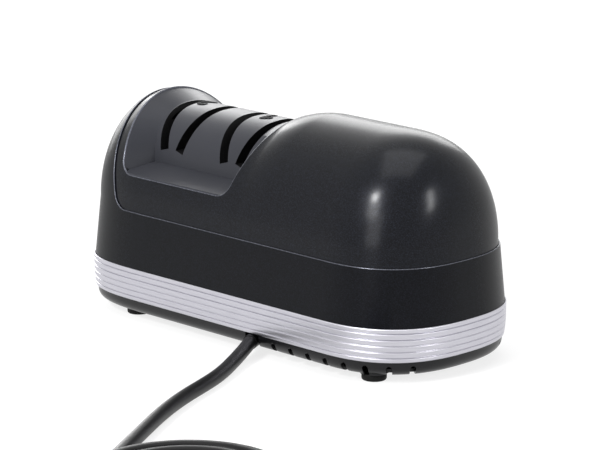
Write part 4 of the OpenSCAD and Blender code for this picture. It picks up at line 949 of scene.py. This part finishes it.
def rimEnd(x, slope, inset, slack=2):
    low = math.asin((shelfZ - headSizes["rimFoot"] - springZ) / (archHeight - slack))
    out = coverInset + headSizes["rimStep"] + inset
    ring = []
    for i in range(headSizes["ringSteps"] + 1):
        t = low + (math.pi - 2 * low) * i / headSizes["ringSteps"]
        z = springZ + (archHeight - headSizes["rimStep"] - inset) * math.sin(t)
        at = x + (z - shelfZ) * slope
        ring.append((at, -widthAt(at, out) * math.cos(t), springZ + riseAt(at, out) * math.sin(t)))
    return [(ring[0][0], ring[0][1], headLowZ)] + ring + [(ring[-1][0], ring[-1][1], headLowZ)]


def shifted(ring, x):
    return [(p[0] + x, p[1], p[2]) for p in ring]


# the head's solid, from rim to barrel to rim, with the two shelves beside the barrel
def headForm(inset, overrun=8, shelfOverrun=14):
    push = headSizes["wallPush"] * inset
    rimA = rimEnd(headSizes["rimLeft"] - push, -math.tan(lean), inset)
    rimB = rimEnd(headSizes["rimRight"] + push, math.tan(lean), inset)
    form = loftPiece("headForm", [
        shifted(rimA, -overrun), rimA,
        barrelEnd(headSizes["barrelLeft"] - push, -math.tan(math.radians(headSizes["leftLean"])), inset),
        barrelEnd(headSizes["barrelRight"] + push, math.tan(math.radians(headSizes["slotLean"])), inset),
        rimB, shifted(rimB, overrun),
    ], striped=True)
    drop = headSizes["wall"] if inset else 0
    out, inner, low = halfWidth, headSizes["barrelHalf"] - headSizes["shelfRidge"], headLowZ + headSizes["lap"]
    edge = headSizes["barrelFoot"] - drop - (out - headSizes["barrelHalf"]) * shelfTan
    middle = headSizes["barrelFoot"] - drop + (headSizes["barrelHalf"] - inner) * shelfTan
    profile = [(-out, low), (-out, edge), (-inner, middle), (inner, middle), (out, edge), (out, low)]
    x0, x1 = headSizes["rimLeft"] - shelfOverrun, headSizes["rimRight"] + shelfOverrun
    carve(form, prism(profile, x0, x1, alongBody), "UNION")
    return form


def slotSlab(x, side, width, depth, yHalf):
    a, rise = side * math.radians(headSizes["slotLean"]), headSizes["slotRise"]
    cx, cz = x + side * headSizes["slotSpread"] / 2, headSizes["barrelTop"]
    corners = []
    for u, v in ((-width / 2, -depth), (width / 2, -depth), (width / 2, rise), (-width / 2, rise)):
        corners.append((cx + u * math.cos(a) + v * math.sin(a), cz - u * math.sin(a) + v * math.cos(a)))
    return prism(corners, -yHalf, yHalf, across)


# the walls that lead a blade down to the wheels, with room for the wheels cut out
def slotGuide(x, side, sizes):
    width = sizes["slotWidth"] + 2 * sizes["guideWall"]
    guide = slotSlab(x, side, width, sizes["guideDepth"], sizes["barrelHalf"])
    inside = prism(barrelRing(sizes["wall"] / 2), sizes["barrelLeft"], sizes["barrelRight"], alongBody)
    carve(guide, inside, "INTERSECT")
    r, count = sizes["wheelRadius"] + sizes["wheelRoom"], sizes["wheelSteps"]
    rim = [(r * math.cos(2 * math.pi * i / count), sizes["spindleZ"] + r * math.sin(2 * math.pi * i / count))
           for i in range(count)]
    reach = sizes["wheelGap"] / 2 + sizes["wheelRoom"]
    carve(guide, prism(rim, x - reach, x + reach, alongBody))
    return guide


# the faces under the barrel's skin, along its length, drawn dark as painted shade
def paintSlotShade(head, sizes, beyondLeft=2, beyondRight=4):
    head.data.materials.append(slotPaintedShade)
    for polygon in head.data.polygons:
        at = polygon.center / mm
        under = sizes["barrelLeft"] - beyondLeft < at.x < sizes["barrelRight"] + beyondRight
        if under and abs(at.y) < sizes["barrelHalf"] and barrelHeight(at.y) - at.z > sizes["paintedShadeDepth"]:
            polygon.material_index = 1


def makeHead(sizes):
    head = headForm(0)
    head.name = "knifeHead"
    head.data.materials.append(finishes["head_matte"])
    # flush with the cover inside the recess, with a flange under the cover's rim
    room = bodyForm(coverInset + sizes["clearance"], springZ - sizes["lap"])
    carve(room, sideCutter(recessProfile(sizes["flange"])), "INTERSECT")
    carve(head, room, "INTERSECT")
    carve(head, headForm(sizes["wall"]))
    (x0, y0, z0), (x1, y1, z1) = sizes["opening"]
    carve(head, block((x0, y0, headLowZ + z0), (x1, y1, headLowZ + z1)))
    slots = [(x, side) for x in (sizes["fineX"], sizes["coarseX"]) for side in (-1, 1)]
    for x, side in slots:
        carve(head, slotGuide(x, side, sizes), "UNION")
    for x, side in slots:
        carve(head, slotSlab(x, side, sizes["slotWidth"], sizes["slotDepth"], sizes["slotReach"]))
    mergeFlat(head)
    softEdges(head, sizes["edge"])
    # the slots' depths get their painted shade
    paintSlotShade(head, sizes)
    body(head, "head_insert", slot="head_matte")


makeHead(headSizes)

print("metal band")

bandSettings = {
    "grooves": 5, "pitch": 2.85, "grooveWidth": 0.8, "grooveDepth": 0.5, "lowerLean": 0.9, "edge": 0.35,
    "thickness": 3, "rows": 110, "pathSteps": 96, "sharpAngle": 60,
}


def newTree(name, floats=(), wholes=(), objects=()):
    tree = bpy.data.node_groups.new(name, "GeometryNodeTree")
    tree.interface.new_socket("Geometry", in_out="INPUT", socket_type="NodeSocketGeometry")
    kinds = [("NodeSocketFloat", floats), ("NodeSocketInt", wholes), ("NodeSocketObject", objects),
             ("NodeSocketMaterial", ("Finish",))]
    ids = {}
    for kind, names in kinds:
        for n in names:
            ids[n] = tree.interface.new_socket(n, in_out="INPUT", socket_type=kind).identifier
    tree.interface.new_socket("Geometry", in_out="OUTPUT", socket_type="NodeSocketGeometry")
    return tree, ids, addNode(tree, "NodeGroupInput").outputs


def endTree(tree, geometry, given):
    real = addNode(tree, "GeometryNodeRealizeInstances", links={0: geometry})
    dressed = addNode(tree, "GeometryNodeSetMaterial", links={
        "Geometry": real.outputs[0], "Material": given["Finish"]})
    addNode(tree, "NodeGroupOutput", links={0: dressed.outputs[0]})


def growNodes(piece, tree, ids, values):
    grown = piece.modifiers.new(tree.name, "NODES")
    grown.node_group = tree
    for name, value in values.items():
        grown[ids[name]] = value
    settle(piece)


def pathPiece(name, points, closed):
    mesh = bpy.data.meshes.new(name)
    n = len(points)
    edges = [(i, (i + 1) % n) for i in range(n if closed else n - 1)]
    mesh.from_pydata([tuple(c * mm for c in p) for p in points], edges, [])
    piece = bpy.data.objects.new(name, mesh)
    scene.collection.objects.link(piece)
    return piece


# sweeps the band's grooved outline along its path
def bandTree():
    floats = ("Height", "Pitch", "Groove width", "Groove depth", "Lower lean", "Edge")
    tree, ids, given = newTree("ribbedBand", floats, ("Grooves", "Rows"))
    height, pitch = given["Height"], given["Pitch"]
    path = addNode(tree, "GeometryNodeMeshToCurve", links={0: given["Geometry"]})
    level = addNode(tree, "GeometryNodeSetCurveNormal", links={0: path.outputs[0]}, mode="Z_UP")
    end = addNode(tree, "ShaderNodeCombineXYZ", links={"Y": height})
    line = addNode(tree, "GeometryNodeCurvePrimitiveLine", links={"End": end.outputs[0]})
    fine = addNode(tree, "GeometryNodeResampleCurve", links={"Curve": line.outputs[0], "Count": given["Rows"]})
    position = addNode(tree, "GeometryNodeInputPosition")
    here = addNode(tree, "ShaderNodeSeparateXYZ", links={0: position.outputs[0]}).outputs["Y"]
    # distance from the middle of the nearest groove
    gaps = addNode(tree, "ShaderNodeMath", {1: 1}, {0: given["Grooves"]}, operation="SUBTRACT").outputs[0]
    spread = addNode(tree, "ShaderNodeMath", links={0: gaps, 1: pitch}, operation="MULTIPLY").outputs[0]
    rest = addNode(tree, "ShaderNodeMath", links={0: height, 1: spread}, operation="SUBTRACT").outputs[0]
    first = addNode(tree, "ShaderNodeMath", {1: 2}, {0: rest}, operation="DIVIDE").outputs[0]
    past = addNode(tree, "ShaderNodeMath", links={0: here, 1: first}, operation="SUBTRACT").outputs[0]
    turns = addNode(tree, "ShaderNodeMath", links={0: past, 1: pitch}, operation="DIVIDE").outputs[0]
    whole = addNode(tree, "ShaderNodeMath", links={0: turns}, operation="ROUND").outputs[0]
    kept = addNode(tree, "ShaderNodeClamp", links={"Value": whole, "Max": gaps}).outputs[0]
    middle = addNode(tree, "ShaderNodeMath", links={0: kept, 1: pitch}, operation="MULTIPLY").outputs[0]
    off = addNode(tree, "ShaderNodeMath", links={0: past, 1: middle}, operation="SUBTRACT").outputs[0]
    away = addNode(tree, "ShaderNodeMath", links={0: off}, operation="ABSOLUTE").outputs[0]
    reach = addNode(tree, "ShaderNodeMath", {1: 2}, {0: given["Groove width"]}, operation="DIVIDE").outputs[0]
    groove = addNode(tree, "ShaderNodeMapRange", {4: 0}, {0: away, 2: reach, 3: given["Groove depth"]},
                     interpolation_type="SMOOTHSTEP").outputs[0]
    # lean of the face towards its lower edge, and both edges rounded
    part = addNode(tree, "ShaderNodeMath", links={0: here, 1: height}, operation="DIVIDE").outputs[0]
    fourth = addNode(tree, "ShaderNodeMath", {1: 4}, {0: part}, operation="POWER").outputs[0]
    leans = addNode(tree, "ShaderNodeMath", links={0: fourth, 1: given["Lower lean"]},
                    operation="MULTIPLY").outputs[0]
    below = addNode(tree, "ShaderNodeMath", links={0: height, 1: here}, operation="SUBTRACT").outputs[0]
    nearest = addNode(tree, "ShaderNodeMath", links={0: here, 1: below}, operation="MINIMUM").outputs[0]
    rounded = addNode(tree, "ShaderNodeMapRange", {4: 0}, {0: nearest, 2: given["Edge"], 3: given["Edge"]},
                      interpolation_type="SMOOTHERSTEP").outputs[0]
    both = addNode(tree, "ShaderNodeMath", links={0: groove, 1: leans}, operation="ADD").outputs[0]
    total = addNode(tree, "ShaderNodeMath", links={0: both, 1: rounded}, operation="ADD").outputs[0]
    inward = addNode(tree, "ShaderNodeMath", {1: -1}, {0: total}, operation="MULTIPLY").outputs[0]
    shift = addNode(tree, "ShaderNodeCombineXYZ", links={"X": inward}).outputs[0]
    profile = addNode(tree, "GeometryNodeSetPosition", links={"Geometry": fine.outputs[0], "Offset": shift})
    swept = addNode(tree, "GeometryNodeCurveToMesh", links={
        "Curve": level.outputs[0], "Profile Curve": profile.outputs[0]})
    endTree(tree, swept.outputs[0], given)
    return tree, ids


def makeBand(settings):
    band = pathPiece("metalBand", [(x, y, housingZ) for x, y in outline(0, settings["pathSteps"])], True)
    tree, ids = bandTree()
    growNodes(band, tree, ids, {
        "Height": bodySizes["band"] * mm, "Pitch": settings["pitch"] * mm,
        "Groove width": settings["grooveWidth"] * mm, "Groove depth": settings["grooveDepth"] * mm,
        "Lower lean": settings["lowerLean"] * mm, "Edge": settings["edge"] * mm,
        "Grooves": settings["grooves"], "Rows": settings["rows"], "Finish": finishes["band_metal"],
    })
    mesh = band.data
    if sum(p.normal.y * p.center.y for p in mesh.polygons) < 0:
        mesh.flip_normals()
    thick = band.modifiers.new("thick", "SOLIDIFY")
    thick.thickness, thick.offset = settings["thickness"] * mm, -1
    settle(band)
    for polygon in band.data.polygons:
        polygon.use_smooth = True
    band.data.set_sharp_from_angle(angle=math.radians(settings["sharpAngle"]))
    body(band, "trim_band", slot="band_metal")


makeBand(bandSettings)

print("base pan and feet")

panSettings = {
    "inset": 1.6, "round": 5, "roundSteps": 10, "floor": 1.6, "wall": 1.7, "edge": 0.22,
    # the upstand inside the metal band, and the step under it
    "upstandInset": 3.1, "upstand": 2.4, "upstandDepth": 1, "upstandStep": 0.3,
    "corner": [(2, 0.4), (0.6, 1.2), (0, 2.4)],  # inside, height over the floor and inset beyond the wall
    "ventWidth": 2.8, "ventPitch": 11, "ventRise": 4.9, "ventStart": 31.8, "vents": 8,
    "ventReach": 8, "ventBack": 3, "ventBelow": 1, "pathSteps": 200,
    "reliefAt": (18, -47.6, 6.6), "reliefTurn": 27,
    # notches for the strain relief and its collar: from, to, half width, bottom, top
    "reliefs": [(-26, 11, 3.9, -7.6, 3.9), (-26, -21, 5.7, -7.6, 0)],
    "posts": (-60, 70.7), "postY": 36.2, "postRadius": 4.5, "postRise": 9, "headRadius": 3.4,
    "past": 1,  # how far a cutter or a joined form goes past a face
    "feet": (-73, 84), "footY": 35.2, "bossRadius": 6.55, "bossDrop": 0.3, "bossRise": 1.5,
}


def stack(layers):
    rings = [[(x, y, z) for x, y in outline(inset, bodySizes["outlineSteps"])] for z, inset in layers]
    return loftPiece("stack", rings)


def circle(radius, steps, x=0, y=0):
    return [(x + radius * math.cos(2 * math.pi * i / steps), y + radius * math.sin(2 * math.pi * i / steps))
            for i in range(steps)]


def column(x, y, radius, low, high, steps=40):
    return prism(circle(radius, steps, x, y), low, high, upright)


# the pan's rim from the first vent to the last, rearwards round the right end
def panEdge(settings):
    inset, steps, power = settings["inset"], settings["pathSteps"], bodySizes["rightPower"]
    line = [Vector((settings["ventStart"], -(halfWidth - inset), 0))]
    for i in range(steps + 1):
        t = math.radians(-90 + 90 * i / steps)
        line.append(Vector((rightC + (bodySizes["rightEnd"] - inset) * curved(math.cos(t), power),
                            (halfWidth - inset) * curved(math.sin(t), power), 0)))
    length, walked, out = (settings["vents"] - 1) * settings["ventPitch"], 0, [line[0]]
    for a, b in zip(line, line[1:]):
        step = (b - a).length
        if walked + step >= length:
            return out + [a + (b - a) * ((length - walked) / step)]
        walked += step
        out.append(b)
    return out


# sets copies of a shape evenly along a path, turned with it
def copiesTree(name):
    tree, ids, given = newTree(name, (), ("Copies",), ("Shape",))
    path = addNode(tree, "GeometryNodeMeshToCurve", links={0: given["Geometry"]})
    even = addNode(tree, "GeometryNodeResampleCurve", links={
        "Curve": path.outputs[0], "Count": given["Copies"]})
    tangent = addNode(tree, "GeometryNodeInputTangent")
    turn = addNode(tree, "FunctionNodeAlignRotationToVector", links={"Vector": tangent.outputs[0]},
                   axis="X", pivot_axis="Z")
    shape = addNode(tree, "GeometryNodeObjectInfo", links={"Object": given["Shape"]})
    copies = addNode(tree, "GeometryNodeInstanceOnPoints", links={
        "Points": even.outputs[0], "Instance": shape.outputs["Geometry"], "Rotation": turn.outputs[0]})
    endTree(tree, copies.outputs[0], given)
    return tree, ids


def ventCutters(settings):
    w, top, low = settings["ventWidth"], panZ + settings["ventRise"], -settings["ventBelow"]
    side, flat, corner = w / 2, w / 5, top - w / 3  # the upper corners are cut off
    shape = [(-side, low), (side, low), (side, corner), (flat, top), (-flat, top), (-side, corner)]
    slot = prism(shape, -settings["ventBack"], settings["ventReach"], across)
    rear = pathPiece("rearVents", panEdge(settings), False)
    tree, ids = copiesTree("ventRow")
    growNodes(rear, tree, ids, {"Copies": settings["vents"], "Shape": slot, "Finish": finishes["pan_matte"]})
    bpy.data.objects.remove(slot)
    front = rear.copy()
    front.data = rear.data.copy()
    scene.collection.objects.link(front)
    for v in front.data.vertices:
        v.co.y = -v.co.y
    faceOutward(front)
    faceOutward(rear)
    return rear, front


def reliefBlock(settings, x0, x1, half, z0, z1):
    turn = math.radians(settings["reliefTurn"] - 90)
    cx, cy, cz = settings["reliefAt"]
    ring = [(cx + x * math.cos(turn) - y * math.sin(turn), cy + x * math.sin(turn) + y * math.cos(turn))
            for x, y in ((x0, -half), (x1, -half), (x1, half), (x0, half))]
    return prism(ring, cz + z0, cz + z1, upright)


def makePan(settings):
    inset, r, steps = settings["inset"], settings["round"], settings["roundSteps"]
    layers = [(bandZ, inset)]
    for i in range(steps + 1):
        t = math.pi / 2 * i / steps
        layers.append((panZ + r * (1 - math.sin(t)), inset + r * (1 - math.cos(t))))
    pan = stack(layers)
    pan.name = "basePan"
    pan.data.materials.append(finishes["pan_matte"])
    for x in settings["feet"]:
        for side in (-1, 1):
            boss = column(x, side * settings["footY"], settings["bossRadius"],
                          panZ - settings["bossDrop"], panZ + settings["bossRise"])
            carve(pan, boss, "UNION")
    past, floorTop = settings["past"], panZ + settings["floor"]
    inner = settings["upstandInset"] + settings["upstand"]
    wall, under = inset + settings["wall"], bandZ - settings["upstandDepth"]
    hollow = [(bandZ + past, inner), (under, inner), (under - settings["upstandStep"], wall)]
    carve(pan, stack(hollow + [(floorTop + up, wall + more) for up, more in settings["corner"]]))
    for x in settings["posts"]:
        for side in (-1, 1):
            y = side * settings["postY"]
            post = column(x, y, settings["postRadius"], floorTop - past, floorTop + settings["postRise"])
            carve(pan, post, "UNION")
            carve(pan, column(x, y, settings["headRadius"], -past, floorTop + past))
    for cutter in ventCutters(settings):
        carve(pan, cutter)
    for relief in settings["reliefs"]:
        carve(pan, reliefBlock(settings, *relief))
    mergeFlat(pan)
    softEdges(pan, settings["edge"])
    body(pan, "base_pan", slot="pan_matte")


makePan(panSettings)

footSettings = {
    # radius and height of the foot's outline, from its hollow middle up
    "outline": [(2.4, 0.35), (2.7, 0.08), (2.9, 0), (5.0, 0), (5.35, 0.1), (5.6, 0.4), (5.75, 0.85),
                (5.75, 3.0), (5.6, 3.2)],
    "steps": 48, "sharpAngle": 40,
}


def lathe(name, profile, steps, finish):
    rings = [[(x, y, z) for x, y in circle(r, steps)] for r, z in profile]
    return loftPiece(name, rings, finish)


def feetTree():
    tree, ids, given = newTree("feetAtCorners", (), (), ("Shape",))
    shape = addNode(tree, "GeometryNodeObjectInfo", links={"Object": given["Shape"]})
    copies = addNode(tree, "GeometryNodeInstanceOnPoints", links={
        "Points": given["Geometry"], "Instance": shape.outputs["Geometry"]})
    endTree(tree, copies.outputs[0], given)
    return tree, ids


def makeFeet(settings):
    shape = lathe("footShape", settings["outline"], settings["steps"], finishes["foot_rubber"])
    (left, right), y = panSettings["feet"], panSettings["footY"]
    spots = [(left, -y, 0), (right, -y, 0), (right, y, 0), (left, y, 0)]
    mesh = bpy.data.meshes.new("rubberFeet")
    mesh.from_pydata([tuple(c * mm for c in p) for p in spots], [], [])
    feet = bpy.data.objects.new("rubberFeet", mesh)
    scene.collection.objects.link(feet)
    tree, ids = feetTree()
    growNodes(feet, tree, ids, {"Shape": shape, "Finish": finishes["foot_rubber"]})
    bpy.data.objects.remove(shape)
    for polygon in feet.data.polygons:
        polygon.use_smooth = True
    feet.data.set_sharp_from_angle(angle=math.radians(settings["sharpAngle"]))
    body(feet, "foot_front_left", "foot_front_right", "foot_rear_left", "foot_rear_right", slot="foot_rubber")


makeFeet(footSettings)

print("switch, strain relief and plug")

refinedPieces = {
    # node: name, edge radius, segments, slot, body
    "switch_body": ("switchBezel", 0.5, 3, "switch_matte", "housing"),
    "switch_rocker": ("switchRocker", 0.45, 3, "rocker_gloss", "rocker"),
    "strain_relief": ("strainRelief", 0.35, 3, "cord_sheath", "housing"),
    "plug_body": ("plugBody", 1.8, 4, "plug_moulding", "housing"),
    "plug_pins": ("plugPins", 0.25, 2, "pin_plated", "housing"),
}


# a copy of the CAD node with its edges rounded
def refine(node, settings):
    name, edge, segments, slot, rider = settings
    mesh = cadNodes[node].data.copy()
    mesh.name = name
    mesh.materials.clear()
    mesh.materials.append(finishes[slot])
    piece = bpy.data.objects.new(name, mesh)
    scene.collection.objects.link(piece)
    mergeFlat(piece, 0.002, 1)
    softEdges(piece, edge, segments)
    return body(piece, node, slot=slot, rider=rider)


refined = {node: refine(node, settings) for node, settings in refinedPieces.items()}

print("numerals")

numeralSettings = {
    "numerals": (("2", -64.6, 1.8), ("1", -18.9, 1.0)),
    "height": 10, "raise": 0.35, "sink": 0.4, "cuts": 24,
    # in the letter's own units, in which a line of text is 1 high
    "bold": 0.02, "thick": 0.05, "curveSteps": 5, "merge": 0.0005,
    # a stroke with a flag
    "one": [(0.30, 0), (0.52, 0), (0.52, 1), (0.34, 1), (0, 0.78), (0, 0.58), (0.30, 0.76)],
}


def numeralMesh(text, settings):
    if text == "1":
        letter = prism(settings["one"], -settings["thick"], settings["thick"], upright)
    else:
        data = bpy.data.curves.new("numeral" + text, "FONT")
        data.body, data.extrude, data.offset = text, settings["thick"], settings["bold"]
        data.resolution_u = settings["curveSteps"]
        letter = bpy.data.objects.new("letter", data)
        scene.collection.objects.link(letter)
    graph = bpy.context.evaluated_depsgraph_get()
    mesh = bpy.data.meshes.new_from_object(letter.evaluated_get(graph))
    bpy.data.objects.remove(letter)
    if text == "1":
        for v in mesh.vertices:
            v.co /= mm
    return mesh


def makeNumeral(text, x, y, settings):
    mesh = numeralMesh(text, settings)
    low = [min(v.co[k] for v in mesh.vertices) for k in (0, 1)]
    high = [max(v.co[k] for v in mesh.vertices) for k in (0, 1)]
    size = settings["height"] / (high[1] - low[1])
    middle = [(a + b) / 2 for a, b in zip(low, high)]
    form = bmesh.new()
    form.from_mesh(mesh)
    bmesh.ops.remove_doubles(form, verts=form.verts, dist=settings["merge"])
    for i in range(1, settings["cuts"]):  # so that it can follow the barrel's curve
        at = low[1] + (high[1] - low[1]) * i / settings["cuts"]
        everything = form.verts[:] + form.edges[:] + form.faces[:]
        bmesh.ops.bisect_plane(form, geom=everything, plane_co=(0, at, 0), plane_no=(0, 1, 0))
    for v in form.verts:  # read from the front, so its top points to the rear
        back = y - (v.co.y - middle[1]) * size
        up = barrelHeight(back) + (settings["raise"] if v.co.z > 0 else -settings["sink"])
        v.co = Vector((x - (v.co.x - middle[0]) * size, back, up)) * mm
    bmesh.ops.recalc_face_normals(form, faces=form.faces)
    form.to_mesh(mesh)
    form.free()
    mesh.materials.clear()
    mesh.materials.append(numeralInk)
    numeral = bpy.data.objects.new("numeral" + ("Two" if text == "2" else "One"), mesh)
    scene.collection.objects.link(numeral)
    body(numeral, slot="head_matte")


for text, x, y in numeralSettings["numerals"]:
    makeNumeral(text, x, y, numeralSettings)
